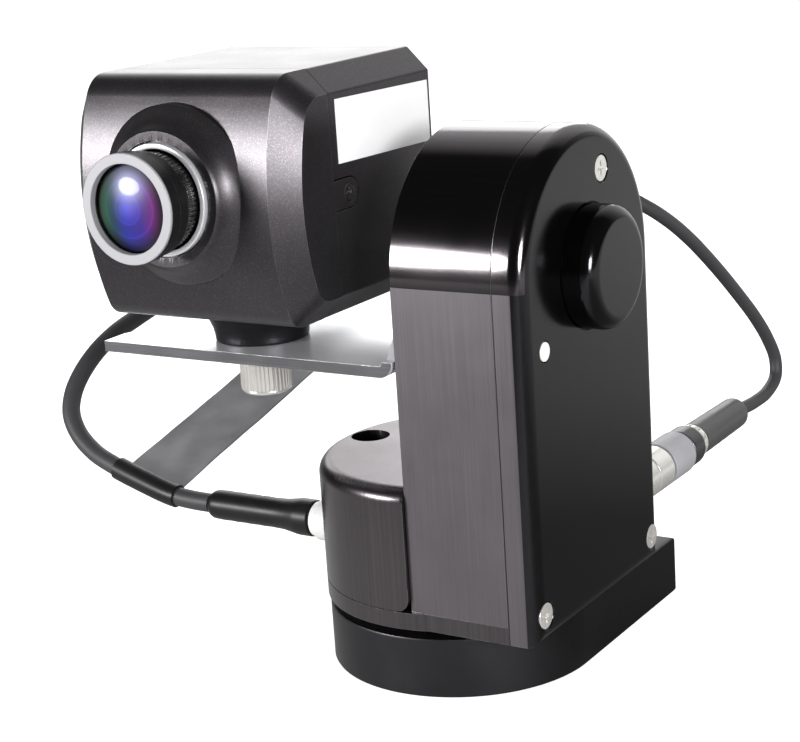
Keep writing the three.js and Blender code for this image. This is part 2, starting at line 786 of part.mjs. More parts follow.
function makeTurretCover() {
  const rim = turretRadius;
  const arc = [];
  const filletSteps = 3;
  for (let step = 0; step <= filletSteps; step += 1) {
    const angle = step / filletSteps * Math.PI / 2;
    arc.push([rim - turretFillet + turretFillet * Math.cos(angle), turretTop - turretFillet + turretFillet * Math.sin(angle)]);
  }
  const can = turned([[0, panTop], [rim, panTop], ...arc, [0, turretTop]], 36);
  const cavity = rod(rim - turretWall, panTop - overrun, turretTop - turretRoof, 24);
  const side = new THREE.Shape();
  side.moveTo(-rim - overrun, panTop);
  side.lineTo(armInner - turretCornerRadius, panTop);
  side.absarc(armInner - turretCornerRadius, panTop + turretCornerRadius, turretCornerRadius, -Math.PI / 2, 0);
  side.lineTo(armInner, turretTop + overrun);
  side.lineTo(-rim - overrun, turretTop + overrun);
  side.closePath();
  const silhouette = remapped(prism(side, -rim - overrun, rim + overrun, 2), swapYZ);
  const bore = rod(turretHoleRadius, turretTop - turretRoof - overrun, turretTop + overrun, 12);
  const hole = shifted(bore, turretHoleX, turretHoleY, 0);
  const socketHole = shifted(remapped(rod(socketRadius + fit, rim - turretWall - overrun, rim + overrun), zToMinusX), 0, 0, turretSocketZ);
  const posts = turretPosts.map(([x, y]) => shifted(rod(turretPostRadius, panTop, panTop + turretPostHeight), x, y, 0));
  const pilots = turretPosts.map(([x, y]) =>
    shifted(rod(screwShank + fit, panTop - overrun, panUnder + turretScrewLength + fit), x, y, 0));
  const body = join(cut(can, cavity), ...posts.map((post) => common(post, can)));
  return cut(common(body, silhouette), hole, socketHole, ...pilots);
}

function bearing(inner, outer, width) {
  const lip = (outer - inner) / 4;
  const groove = width / 8;
  return turned([
    [inner, 0],
    [outer, 0],
    [outer, width],
    [outer - lip, width],
    [outer - lip, width - groove],
    [inner + lip, width - groove],
    [inner + lip, width],
    [inner, width],
    [inner, 0],
  ]);
}

// Gear motor along Z with its shaft end at 0 and a bore for the pinion shaft
function motor() {
  return turned([
    [pinionShaft + runGap, 0],
    [motorRadius - motorRim, 0],
    [motorRadius, motorRim],
    [motorRadius, motorLength - motorRim],
    [motorRadius - motorRim, motorLength],
    [motorCap, motorLength],
    [motorCap, motorLength + motorCapHeight],
    [0, motorLength + motorCapHeight],
    [0, pinionGrip + runGap],
    [pinionShaft + runGap, pinionGrip + runGap],
    [pinionShaft + runGap, 0],
  ], 14);
}

function makeBoard() {
  const plate = block(boardX, boardX + boardThickness, -boardHalfWidth, boardHalfWidth, panTop + boardBottom, panTop + boardTop);
  const middle = panTop + (boardBottom + boardTop) / 2;
  const face = boardX + boardThickness;
  const chips = [-1, 0, 1].map((column) => {
    const y = column * (chipSize + chipHeight);
    return block(face - fit, face + chipHeight, y - chipSize / 2, y + chipSize / 2, middle, middle + chipSize);
  });
  return join(plate, ...chips);
}

function makePanHead() {
  const group = new THREE.Group();
  piece(group, 'pan_plate', black, makePanPlate());
  piece(group, 'arm_frame', satin, makeArmFrame());
  piece(group, 'side_cover', black, makeSideCover());
  piece(group, 'turret_cover', satin, makeTurretCover());
  armScrews.forEach(([y, z], index) => {
    const mesh = piece(group, `cover_screw_${index + 1}`, nickel, remapped(coverScrewBody(), zToX));
    mesh.position.set(coverOuter - seatGap, y, z);
  });
  turretPosts.forEach(([x, y], index) => {
    const screw = countersunk(screwHead, screwHeadHeight, screwShank, turretScrewLength);
    const mesh = piece(group, `turret_screw_${index + 1}`, steel, remapped(screw, zToMinusZ));
    mesh.position.set(x, y, panUnder + seatGap);
  });
  const lamp = turned([
    [0, -coverWall - lampFlange],
    [lampRadius + lampFlange, -coverWall - lampFlange],
    [lampRadius + lampFlange, -coverWall],
    [lampRadius, -coverWall],
    [lampRadius, 0],
    [lampRadius - lampProud, lampProud],
    [0, lampProud],
  ], 12);
  piece(group, 'indicator_lens', white, remapped(lamp, zToX)).position.set(coverOuter, lampY, tiltAxisZ + lampZ);

  const panBearing = bearing(axleRadius + fit, bearingOuter, bearingHeight);
  piece(group, 'pan_bearing', steel, panBearing).position.set(0, 0, bearingBottom);
  const tiltBearing = remapped(bearing(shaftRadius + seatGap, tiltBearingOuter, tiltBearingWidth), zToX);
  const armBearingX = armInner + armWall - seatGap;
  piece(group, 'tilt_bearing_arm', steel, tiltBearing).position.set(armBearingX, 0, tiltAxisZ);
  const coverBearingX = coverOuter - coverWall - tiltBearingWidth;
  piece(group, 'tilt_bearing_cover', steel, tiltBearing).position.set(coverBearingX, 0, tiltAxisZ);
  piece(group, 'pan_motor', black, motor()).position.set(panMotorX, panMotorY, panMotorBottom);
  const tiltMotor = remapped(motor(), zToMinusX);
  const tiltMotorX = armInner + armWall + motorLength + motorCapHeight;
  piece(group, 'tilt_motor', black, tiltMotor).position.set(tiltMotorX, 0, tiltAxisZ - gearDistance);
  piece(group, 'control_board', resin, makeBoard());

  const turretSocket = turned([
    [0, turretRadius - socketDepth],
    [socketRadius, turretRadius - socketDepth],
    [socketRadius, turretRadius + seatGap],
    [socketNut, turretRadius + seatGap],
    [socketNut, turretRadius + socketNutHeight],
    [socketRadius, turretRadius + socketNutHeight],
    [socketRadius, turretRadius + socketProud],
    [0, turretRadius + socketProud],
  ], 12);
  piece(group, 'turret_socket', nickel, remapped(turretSocket, zToMinusX)).position.set(0, 0, turretSocketZ);
  const armSocket = turned([
    [0, armHalfDepth - armSocketDepth],
    [armSocketBody, armHalfDepth - armSocketDepth],
    [armSocketBody, armHalfDepth],
    [socketNut, armHalfDepth],
    [socketNut, armHalfDepth + socketNutHeight],
    [socketRadius, armHalfDepth + socketNutHeight],
    [socketRadius, armHalfDepth + socketProud],
    [0, armHalfDepth + socketProud],
  ], 12);
  piece(group, 'arm_socket', nickel, remapped(armSocket, zToY)).position.set(armSocketX, 0, armSocketZ);
  return group;
}

// Pinions on their motor shafts

function pinion(toothAt) {
  const teeth = prism(gearOutline(pinionTeeth, toothAt, 0), 0, gearThickness);
  const shaft = rod(pinionShaft, fit, gearThickness + runGap + runGap + pinionGrip, 12);
  return join(teeth, shaft);
}

function makePinions() {
  const group = new THREE.Group();
  const panTooth = panMotorAngle + Math.PI + Math.PI / pinionTeeth;
  const panPinion = piece(group, 'pan_pinion', brass, pinion(panTooth));
  panPinion.position.set(panMotorX, panMotorY, ringTeethBottom);
  const tiltTooth = Math.PI / 2 + Math.PI / pinionTeeth;
  const tiltPinion = piece(group, 'tilt_pinion', brass, remapped(pinion(tiltTooth), zToMinusX));
  tiltPinion.position.set(tiltGearX + gearThickness, 0, tiltAxisZ - gearDistance);
  return group;
}

// Tilting platform, shaft and cap, with the tilt axis as this group's X axis

function platformOutline() {
  return shapeOf([
    [legInner, platformFront],
    [legInner, platformBack],
    [platformTipBack, platformBack],
    [platformTip, platformTipFront],
    [platformTip, platformFront],
  ]);
}

// The leg's rounded end, joined by its two tangents to the foot on the plate
function legOutline() {
  const tangent = (y, side) => {
    const distance = Math.hypot(y, platformUnder);
    const toFoot = Math.atan2(platformUnder, y);
    return toFoot + side * Math.acos(platformHubRadius / distance);
  };
  const rear = tangent(platformBack, 1);
  const front = tangent(platformFront, -1);
  const outline = new THREE.Shape();
  outline.moveTo(platformFront, platformUnder);
  outline.lineTo(platformBack, platformUnder);
  outline.absarc(0, 0, platformHubRadius, rear, front + 2 * Math.PI);
  outline.closePath();
  return outline;
}

function makePlatform() {
  const inside = platformBend - platformThickness;
  const section = new THREE.Shape();
  section.moveTo(platformTip - overrun, platformUnder);
  section.lineTo(legInner - platformBend, platformUnder);
  section.absarc(legInner - platformBend, platformUnder + platformBend, platformBend, -Math.PI / 2, 0);
  section.lineTo(legInner, platformHubRadius + overrun);
  section.lineTo(legOuter, platformHubRadius + overrun);
  section.lineTo(legOuter, platformTop + inside);
  section.absarc(legOuter - inside, platformTop + inside, inside, 0, -Math.PI / 2, true);
  section.lineTo(platformTip - overrun, platformTop);
  section.closePath();
  const bracket = remapped(prism(section, platformFront - overrun, platformHubRadius + overrun, 4), swapYZ);
  const plan = prism(platformOutline(), platformUnder - overrun, platformTop + inside + fit);
  const leg = remapped(prism(legOutline(), legOuter - fit, legInner + overrun, 12), zToX);
  const screwHole = shifted(rod(knobShank + fit, platformUnder - overrun, platformTop + overrun), cameraX, cameraY, 0);
  const boltHole = remapped(rod(shaftBolt + fit, legOuter - overrun, legInner + overrun), zToX);
  return cut(common(bracket, join(plan, leg)), screwHole, boltHole);
}

function makeTilt() {
  const group = new THREE.Group();
  group.position.set(0, 0, tiltAxisZ);
  piece(group, 'camera_platform', bright, makePlatform());

  const shaftEnd = coverOuter + capProud - capRound - runGap;
  const bolt = rod(shaftBolt + fit, legInner - overrun, legInner + platformBoltLength);
  const shaft = cut(rod(shaftRadius, legInner, shaftEnd), bolt);
  piece(group, 'tilt_shaft', steel, remapped(shaft, zToX));
  const key = new THREE.Shape();
  for (let corner = 0; corner < 6; corner += 1) {
    const angle = corner * Math.PI / 3;
    const [x, y] = [platformBoltKey * Math.cos(angle), platformBoltKey * Math.sin(angle)];
    if (corner === 0) key.moveTo(x, y);
    else key.lineTo(x, y);
  }
  key.closePath();
  const boltBody = cut(
    turned([
      [0, -platformBoltLength],
      [shaftBolt, -platformBoltLength],
      [shaftBolt, 0],
      [platformBoltHead, 0],
      [platformBoltHead, platformBoltHeight / 2],
      [platformBoltHead - platformBoltHeight / 2, platformBoltHeight],
      [0, platformBoltHeight],
    ]),
    prism(key, platformBoltHeight - platformBoltKeyDepth, platformBoltHeight + overrun),
  );
  piece(group, 'platform_bolt', steel, remapped(boltBody, zToMinusX)).position.set(legOuter, 0, 0);

  const wheel = join(
    prism(gearOutline(wheelTeeth, -Math.PI / 2, shaftRadius + fit), 0, gearThickness),
    ring(tiltCollarRadius, shaftRadius + fit, -tiltCollarLength, 0),
  );
  piece(group, 'tilt_gear', steel, remapped(wheel, zToX)).position.set(tiltGearX, 0, 0);

  const capFoot = coverOuter - capRecessDepth + runGap;
  const capFace = coverOuter + capProud;
  const arc = [];
  const roundSteps = 3;
  for (let step = 0; step <= roundSteps; step += 1) {
    const angle = step / roundSteps * Math.PI / 2;
    arc.push([capRadius - capRound + capRound * Math.cos(angle), capFace - capRound + capRound * Math.sin(angle)]);
  }
  const cap = turned([
    [shaftRadius + fit, capFoot],
    [capRadius, capFoot],
    ...arc,
    [0, capFace],
    [0, shaftEnd + fit],
    [shaftRadius + fit, shaftEnd + fit],
    [shaftRadius + fit, capFoot],
  ], 24);
  piece(group, 'tilt_cap', black, remapped(cap, zToX));
  return group;
}

// Knurled screw under the platform, on the camera's thread

function makeKnob() {
  const ridge = new THREE.Shape();
  for (let corner = 0; corner < knobRidges * 2; corner += 1) {
    const radius = knobRadius - (corner % 2) * knobRidgeDepth;
    const angle = corner * Math.PI / knobRidges;
    const [x, y] = [radius * Math.cos(angle), radius * Math.sin(angle)];
    if (corner === 0) ridge.moveTo(x, y);
    else ridge.lineTo(x, y);
  }
  ridge.closePath();
  const chamfered = turned([
    [0, -knobHeight],
    [knobRadius - knobChamfer, -knobHeight],
    [knobRadius, knobChamfer - knobHeight],
    [knobRadius + fit, knobChamfer - knobHeight + fit],
    [knobRadius + fit, -knobChamfer - fit],
    [knobRadius - knobChamfer, 0],
    [0, 0],
  ], knobRidges * 2);
  const head = common(prism(ridge, -knobHeight, 0), chamfered);
  return join(head, rod(knobShank, -fit, platformThickness + knobShankLength));
}

// Camera: front and rear shells, rear panel, sensor board and lens mount.
// This group's origin is under the middle of the camera, at the plane y = 0 of the head.

function cameraSection(inset) {
  const half = cameraHalf - inset;
  const low = inset;
  const high = cameraHeight - inset;
  const corner = cameraChamfer - inset * (2 - Math.SQRT2);
  return shapeOf([
    [-half + corner, low],
    [half - corner, low],
    [half, low + corner],
    [half, high - corner],
    [half - corner, high],
    [-half + corner, high],
    [-half, high - corner],
    [-half, low + corner],
  ]);
}

// Side outline of the camera with its curved nose, at a place across the width
function noseLoop(x, inset) {
  const radius = cameraNoseRadius - inset;
  const sweep = Math.asin((cameraMiddle - inset) / radius);
  const centre = cameraNose + cameraNoseRadius;
  const noseSteps = 12;
  const loop = [[x, cameraSeam, inset], [x, cameraSeam, cameraHeight - inset]];
  for (let step = 0; step <= noseSteps; step += 1) {
    const angle = sweep * (1 - 2 * step / noseSteps);
    loop.push([x, centre - radius * Math.cos(angle), cameraMiddle + radius * Math.sin(angle)]);
  }
  return loop;
}

function tab(side, gap, reachIn) {
  const half = tabWidth / 2 + gap;
  const shape = new THREE.Shape();
  const end = cameraSeam + tabLength - tabWidth / 2;
  shape.moveTo(cameraSeam - reachIn, cameraMiddle - half);
  shape.lineTo(end, cameraMiddle - half);
  shape.absarc(end, cameraMiddle, half, -Math.PI / 2, Math.PI / 2);
  shape.lineTo(cameraSeam - reachIn, cameraMiddle + half);
  shape.closePath();
  const inner = cameraHalf - cameraWall - gap;
  const outer = cameraHalf + (gap > 0 ? overrun : 0);
  const [from, to] = side > 0 ? [inner, outer] : [-outer, -inner];
  return remapped(prism(shape, from, to, 5), zToX);
}

function sideScrewPlaces() {
  return [-1, 1].map((side) => [side, side * cameraHalf, cameraSeam + tabScrewBack, cameraMiddle]);
}

function makeFrontShell() {
  const nose = lofted([
    noseLoop(-cameraHalf, cameraChamfer),
    noseLoop(cameraChamfer - cameraHalf, 0),
    noseLoop(cameraHalf - cameraChamfer, 0),
    noseLoop(cameraHalf, cameraChamfer),
  ]);
  const edge = noseEdge + overrun;
  const edgeY = cameraNose + cameraNoseRadius - Math.sqrt(cameraNoseRadius ** 2 - cameraMiddle ** 2);
  const bottomEdge = remapped(prism(shapeOf([
    [edgeY - edge, -overrun + edge],
    [edgeY - edge, -overrun],
    [edgeY + noseEdge, -overrun],
    [edgeY + noseEdge, 0],
    [edgeY, noseEdge],
    [edgeY - edge, noseEdge],
  ]), -cameraHalf - overrun, cameraHalf + overrun), zToX);
  const topEdge = remapped(prism(shapeOf([
    [edgeY - edge, cameraHeight - noseEdge],
    [edgeY, cameraHeight - noseEdge],
    [edgeY + noseEdge, cameraHeight],
    [edgeY + noseEdge, cameraHeight + overrun],
    [edgeY - edge, cameraHeight + overrun],
  ]), -cameraHalf - overrun, cameraHalf + overrun), zToX);
  const cavity = remapped(prism(cameraSection(noseWall), cameraSeam - noseCavity, cameraSeam + overrun), zToY);
  const mount = shifted(remapped(turned([
    [0, -cameraSeam + noseCavity],
    [mountFootRadius, -cameraSeam + noseCavity],
    [mountFootRadius, -cameraNose - mountRecessDepth],
    [mountNeckRadius, -cameraNose + mountRecessDepth],
    [mountRimRadius, -mountRim - fit],
    [mountRimRadius - fit, -mountRim],
    [0, -mountRim],
  ], 20), zToMinusY), 0, 0, lensZ);
  const bore = shifted(remapped(turned([
    [0, -cameraSeam],
    [mountBore, -cameraSeam],
    [mountBore, -mountRim - mountRecessDepth],
    [mountRecess, -mountRim - mountRecessDepth],
    [mountRecess, -mountRim + overrun],
    [0, -mountRim + overrun],
  ], 16), zToMinusY), 0, 0, lensZ);
  const posts = sensorPosts().map(([x, z]) => {
    const post = rod(sensorPostRadius, cameraSeam - noseCavity - fit, sensorBoardY);
    return shifted(remapped(post, zToY), x, 0, z);
  });
  const screws = sideScrewPlaces().map(([side, x, y, z]) => {
    const sink = countersink(tabScrewHead, tabScrewHeadHeight, tabScrewShank, tabScrewLength);
    return shifted(remapped(sink, side > 0 ? zToX : zToMinusX), x, y, z);
  });
  let shell = cut(nose, cavity, topEdge, bottomEdge);
  shell = join(shell, mount, ...posts, tab(1, 0, noseCavity / 2), tab(-1, 0, noseCavity / 2));
  return cut(shell, bore, ...screws);
}

function sensorPosts() {
  const reach = sensorBoardHalf - sensorPostInset;
  return [-1, 1].flatMap((i) => [-1, 1].map((j) => [i * reach, cameraMiddle + j * reach]));
}

function makeRearShell() {
  const outer = remapped(prism(cameraSection(0), cameraSeam, cameraRear), zToY);
  const inner = remapped(prism(cameraSection(cameraWall), cameraSeam - overrun, cameraRear + overrun), zToY);
  const notches = [tab(1, fit, overrun), tab(-1, fit, overrun)];
  const ledgeFrom = cameraRear - cameraPanelInset - cameraPanel - cameraWall;
  const ledge = remapped(prism(cameraSection(cameraWall / 2), ledgeFrom, ledgeFrom + cameraWall), zToY);
  const ledgeRoom = remapped(prism(cameraSection(cameraWall * 2), ledgeFrom - overrun, cameraRear), zToY);
  return cut(join(cut(outer, inner), cut(ledge, ledgeRoom)), ...notches);
}

function makeCamera(tilt) {
  const group = new THREE.Group();
  group.position.set(cameraX, 0, cameraBottom - tiltAxisZ);
  tilt.add(group);

  const neck = turned([
    [knobShank + runGap, -neckHeight],
    [neckFoot, -neckHeight],
    [neckWaist, -neckHeight * 3 / 4],
    [neckWaist + (neckHead - neckWaist) / 5, -neckHeight / 2],
    [neckWaist + (neckHead - neckWaist) / 2, -neckHeight / 4],
    [neckHead, 0],
    [0, 0],
    [0, knobBoreDepth - neckHeight],
    [knobShank + runGap, knobBoreDepth - neckHeight],
    [knobShank + runGap, -neckHeight],
  ], 20);
  piece(group, 'camera_neck', powder, neck).position.set(0, cameraY, 0);
  piece(group, 'camera_front_shell', powder, makeFrontShell());
  piece(group, 'camera_rear_shell', powder, makeRearShell());

  const panelFrom = cameraRear - cameraPanelInset - cameraPanel;
  const panel = remapped(prism(cameraSection(cameraWall + fit), panelFrom, panelFrom + cameraPanel), zToY);
  const jacks = [['camera_video_jack', videoJackX], ['camera_power_jack', powerJackX]];
  const jackHoles = jacks.map(([, x]) =>
    shifted(remapped(rod(jackRadius - runGap + fit, panelFrom - overrun, cameraRear), zToY), x, 0, jackZ));
  piece(group, 'camera_rear_panel', powder, cut(panel, ...jackHoles));
  const panelFace = panelFrom + cameraPanel;
  const jack = cut(
    turned([
      [0, -cameraPanel - jackDepth],
      [jackRadius - runGap, -cameraPanel - jackDepth],
      [jackRadius - runGap, 0],
      [jackNut, 0],
      [jackNut, jackNutHeight],
      [jackRadius, jackNutHeight],
      [jackRadius, jackProud],
      [0, jackProud],
    ], 12),
    rod(jackBore, jackNutHeight, jackProud + overrun),
  );
  for (const [name, x] of jacks) {
    piece(group, name, nickel, remapped(jack, zToY)).position.set(x, panelFace, jackZ);
  }
  const plugs = [
    ['left_camera_plug', videoJackX, leftPlugCableRadius],
    ['right_camera_plug', powerJackX, rightCableRadius + tagWall],
  ];
  for (const [name, x, tail] of plugs) {
    const plug = turned([
      [0, 0],
      [plugRadius, 0],
      [plugRadius, plugLength],
      [tail, plugLength + clampChamfer],
      [tail, plugLength + plugTaper],
      [0, plugLength + plugTaper],
    ]);
    const mesh = piece(group, name, shrink, remapped(plug, zToY));
    mesh.position.set(x, panelFace + jackProud + runGap, jackZ);
  }

  const pcb = block(-sensorBoardHalf, sensorBoardHalf, sensorBoardY, sensorBoardY + sensorBoardThickness,
    cameraMiddle - sensorBoardHalf, cameraMiddle + sensorBoardHalf);
  const chip = block(-sensorHalf, sensorHalf, sensorBoardY - sensorHeight, sensorBoardY + fit,
    lensZ - sensorHalf, lensZ + sensorHalf);
  piece(group, 'sensor_board', resin, join(pcb, chip));
  for (const [side, x, y, z] of sideScrewPlaces()) {
    const screw = countersunk(tabScrewHead, tabScrewHeadHeight, tabScrewShank, tabScrewLength);
    const name = side > 0 ? 'shell_screw_right' : 'shell_screw_left';
    const mesh = piece(group, name, black, remapped(screw, side > 0 ? zToX : zToMinusX));
    mesh.position.set(x - side * seatGap, y, z);
  }
  const lockBack = mountRim + mountRecessDepth;
  const lock = ring(lockRadius, barrelRadius + runGap, -lockBack, -lockFront, 16);
  piece(group, 'lens_lock_ring', bright, remapped(lock, zToMinusY)).position.set(0, 0, lensZ);
  group.add(makeLens());
  return group;
}

// Lens, turned in its mount to focus. Profiles run along the optical axis, towards the front.

function makeLens() {
  const group = new THREE.Group();
  group.position.set(0, 0, lensZ);
  const ringBack = -lensFront - frontRingLength;
  const glassBack = -lensFront - glassRecess - glassDome - glassEdge;
  const slots = [];
  for (let rib = 0; rib < barrelRibs; rib += 1) {
    const start = -barrelRibStart + rib * barrelRibPitch;
    slots.push([barrelRadius, start], [barrelRadius - barrelSlotDepth, start]);
    slots.push([barrelRadius - barrelSlotDepth, start + barrelRibPitch / 2], [barrelRadius, start + barrelRibPitch / 2]);
  }
  const seat = frontRingBore - fit;
  const barrel = turned([
    [barrelBore, -barrelRear],
    [barrelRadius, -barrelRear],
    ...slots,
    [barrelRadius, ringBack],
    [barrelRadius, -lensFront - frontRingLength / 2],
    [seat, -lensFront - frontRingLength / 2],
    [seat, glassBack],
    [barrelBore, glassBack],
    [barrelBore, -barrelRear],
  ], 16);
  piece(group, 'lens_barrel', black, remapped(barrel, zToMinusY));
  const frontRing = turned([
    [barrelRadius + fit, ringBack],
    [frontRingRadius, ringBack],
    [frontRingRadius, -lensFront - fit],
    [frontRingRadius - fit, -lensFront],
    [frontRingBore + fit, -lensFront],
    [frontRingBore, -lensFront - frontRingLength / 2 + fit],
    [barrelRadius + fit, -lensFront - frontRingLength / 2 + fit],
    [barrelRadius + fit, ringBack],
  ], 16);
  piece(group, 'lens_front_ring', nickel, remapped(frontRing, zToMinusY));
  const dome = [];
  const domeSteps = 4;
  const domeRadius = (glassRadius ** 2 + glassDome ** 2) / glassDome / 2;
  const sweep = Math.asin(glassRadius / domeRadius);
  const domeCentre = -lensFront - glassRecess - domeRadius;
  for (let step = 0; step <= domeSteps; step += 1) {
    const angle = sweep * (1 - step / domeSteps);
    dome.push([step === domeSteps ? 0 : domeRadius * Math.sin(angle), domeCentre + domeRadius * Math.cos(angle)]);
  }
  const glass = turned([[0, glassBack], [glassRadius, glassBack], ...dome], 16);
  piece(group, 'lens_glass', glassy, remapped(glass, zToMinusY));
  return group;
}

// Cables with their plugs, boots and tag

const panelFaceY = cameraRear - cameraPanelInset;
const cameraPlugEnd = panelFaceY + jackProud + runGap + plugLength + plugTaper;
const leftJack = [cameraX + videoJackX, cameraPlugEnd + runGap, cameraBottom + jackZ];
const rightJack = [cameraX + powerJackX, cameraPlugEnd + runGap, cameraBottom + jackZ];

// Corners of each cable's loop, with heights from its socket
const leftSlack = [
  [-62.5, 0, 0.1],
  [-67.4, 0, 0.6],
  [-75.6, 0, 2.9],
  [-82.8, 0.5, 5],
  [-88.6, 1.5, 6.9],
  [-93.7, 3, 9.9],
  [-97, 5, 13.4],
  [-98.4, 7.6, 16.7],
  [-98.7, 11, 20.1],
  [-98.1, 16, 24],
  [-97.3, 22, 26.9],
  [-96.5, 28, 28.7],
  [-94.5, 34.5, 31.1],
  [-90, 42, 35.5],
  [-82, 48.5, 42],
  [-72, 52, 49.5],
  [-61, 51.5, 56],
  [-51, 47, 59.1],
  [-46.3, 41.5, 59.5],
];
const leftRoute = [
  [-leftBootEnd - runGap, 0, turretSocketZ],
  ...leftSlack.map(([x, y, rise]) => [x, y, turretSocketZ + rise]),
  leftJack,
];

const rightSlack = [
  [18, 92.3, -0.5],
  [17.9, 98.3, -0.9],
  [17.8, 105.9, -0.6],
  [17.6, 111.4, 1.6],
  [17.2, 112.3, 5.3],
  [16.6, 109.6, 10.5],
  [16, 103.8, 16.9],
  [15.2, 96.5, 23.6],
  [14.2, 86.8, 31.8],
  [13.2, 76.7, 39.5],
  [12.2, 68.4, 45],
  [10.5, 61.3, 49.3],
  [5, 56, 53.7],
  [-4, 51.5, 56.7],
  [-12.5, 47, 57.6],
  [-18.6, 42, 57.5],
];
const rightRoute = [
  [armSocketX, rightBootEnd + runGap, armSocketZ],
  ...rightSlack.map(([x, y, rise]) => [x, y, armSocketZ + rise]),
  rightJack,
];

function curveOf(route) {
  return new THREE.CatmullRomCurve3(route.map((point) => new THREE.Vector3(...point)), false, 'centripetal');
}

function cable(route, radius, stepCount) {
  const section = new THREE.Shape().absarc(0, 0, radius, 0, 2 * Math.PI);
  return new THREE.ExtrudeGeometry(section, { extrudePath: curveOf(route), steps: stepCount, curveSegments: 4 });
}

function makeTag() {
  const whole = curveOf(leftRoute);
  const stations = [];
  const stationCount = 6;
  for (let station = 0; station <= stationCount; station += 1) {
    const share = tagStartShare + (tagEndShare - tagStartShare) * station / stationCount;
    stations.push(whole.getPointAt(share));
  }
  const path = new THREE.CatmullRomCurve3(stations, false, 'centripetal');
  const bore = leftCableRadius + runGap;
  const sleeveShape = (radius) => new THREE.Shape().absarc(0, 0, radius, 0, 2 * Math.PI);
  const along = (radius) => new THREE.ExtrudeGeometry(sleeveShape(radius), { extrudePath: path, steps: 5, curveSegments: 4 });
  const middle = whole.getPointAt((tagStartShare + tagEndShare) / 2);
  const half = tagWidth / 2;
  const nearEdge = bore + tagWall / 4;
  const corner = (across, back, lift) => [
    middle.x + across * half,
    middle.y + nearEdge + back,
    middle.z + across * half * tagSlopeShare + back * tagRiseShare + lift,
  ];
  const flag = hexahedron([0, tagThickness].map((lift) => [
    corner(-1, 0, lift),
    corner(1, 0, lift),
    corner(1, tagLength, lift),
    corner(-1, tagLength, lift),
  ]));
  return cut(join(along(bore + tagWall), flag), along(bore));
}

// A plate given by its four lower and four upper corners
function hexahedron([lower, upper]) {
  const geometry = new THREE.BufferGeometry();
  geometry.setAttribute('position', new THREE.Float32BufferAttribute([...lower, ...upper].flat(), 3));
  const faces = [[0, 2, 1], [0, 3, 2], [4, 5, 6], [4, 6, 7]];
  for (let side = 0; side < 4; side += 1) {
    const next = (side + 1) % 4;
    faces.push([side, next, next + 4], [side, next + 4, side + 4]);
  }
  geometry.setIndex(faces.flat());
  return geometry;
}

function makeCables() {
  const group = new THREE.Group();
  const leftStart = turretRadius + socketProud + runGap;
  const leftPlug = turned([
    [0, leftStart],
    [leftPlugRadius, leftStart],
    [leftPlugRadius, leftPlugEnd - plugGrooveWidth],
    [leftPlugRadius - plugGroove, leftPlugEnd - plugGrooveWidth],
    [leftPlugRadius - plugGroove, leftPlugEnd],
    [0, leftPlugEnd],
  ]);
  piece(group, 'left_plug', nickel, remapped(leftPlug, zToMinusX)).position.set(0, 0, turretSocketZ);
  const leftBoot = turned([
    [0, leftPlugEnd],
    [leftBootRadius, leftPlugEnd],
    [leftBootRadius, leftPlugEnd + leftBootRadius],
    [leftBootWaist, leftPlugEnd + leftBootRadius * 2],
    [leftBootWaist, leftBootEnd - bootChamfer],
    [leftCableRadius + tagWall / 2, leftBootEnd],
    [0, leftBootEnd],
  ]);
  piece(group, 'left_boot', shrink, remapped(leftBoot, zToMinusX)).position.set(0, 0, turretSocketZ);
  piece(group, 'left_cable', rubber, cable(leftRoute, leftCableRadius, 30));
  piece(group, 'cable_tag', shrink, makeTag());

  const rightStart = armHalfDepth + socketProud + runGap;
  const rightPlug = turned([
    [0, rightStart],
    [sleeveRadius, rightStart],
    [sleeveRadius, sleeveEnd - plugGrooveWidth],
    [sleeveRadius - plugGroove, sleeveEnd - plugGrooveWidth],
    [barrelPlugRadius - plugGroove, sleeveEnd],
    [barrelPlugRadius, sleeveEnd],
    [barrelPlugRadius, barrelPlugEnd],
    [barrelPlugRadius - plugGroove, barrelPlugEnd],
    [barrelPlugRadius - plugGroove, barrelPlugEnd + plugGrooveWidth],
    [barrelPlugRadius, barrelPlugEnd + plugGrooveWidth],
    [barrelPlugRadius, clampEnd - clampChamfer],
    [crimpRadius, clampEnd],
    [crimpRadius, crimpEnd],
    [0, crimpEnd],
  ], 14);
  piece(group, 'right_plug', nickel, remapped(rightPlug, zToY)).position.set(armSocketX, 0, armSocketZ);
  const rightBoot = turned([
    [0, crimpEnd],
    [rightBootRadius, crimpEnd],
    [rightBootWaist, rightBootEnd - bootChamfer],
    [rightCableRadius + tagWall / 2, rightBootEnd],
    [0, rightBootEnd],
  ]);
  piece(group, 'right_boot', shrink, remapped(rightBoot, zToY)).position.set(armSocketX, 0, armSocketZ);
  piece(group, 'right_cable', rubber, cable(rightRoute, rightCableRadius, 32));
  return group;
}

const group = new THREE.Group();
group.add(makeBase());
group.add(makePanHead());
group.add(makePinions());
const tilt = makeTilt();
makeCamera(tilt);
const knob = piece(tilt, 'camera_screw', nickel, makeKnob());
knob.position.set(cameraX, cameraY, platformUnder - seatGap);
group.add(tilt);
group.add(makeCables());
group.updateMatrixWorld(true);

export default group;
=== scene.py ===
"""Finishes, fine shapes, cables and studio for a small motorised pan and tilt head with a box camera."""

import math

import bmesh
import bpy
from bpy.props import FloatProperty, FloatVectorProperty, IntProperty, PointerProperty
from mathutils import Matrix, Vector


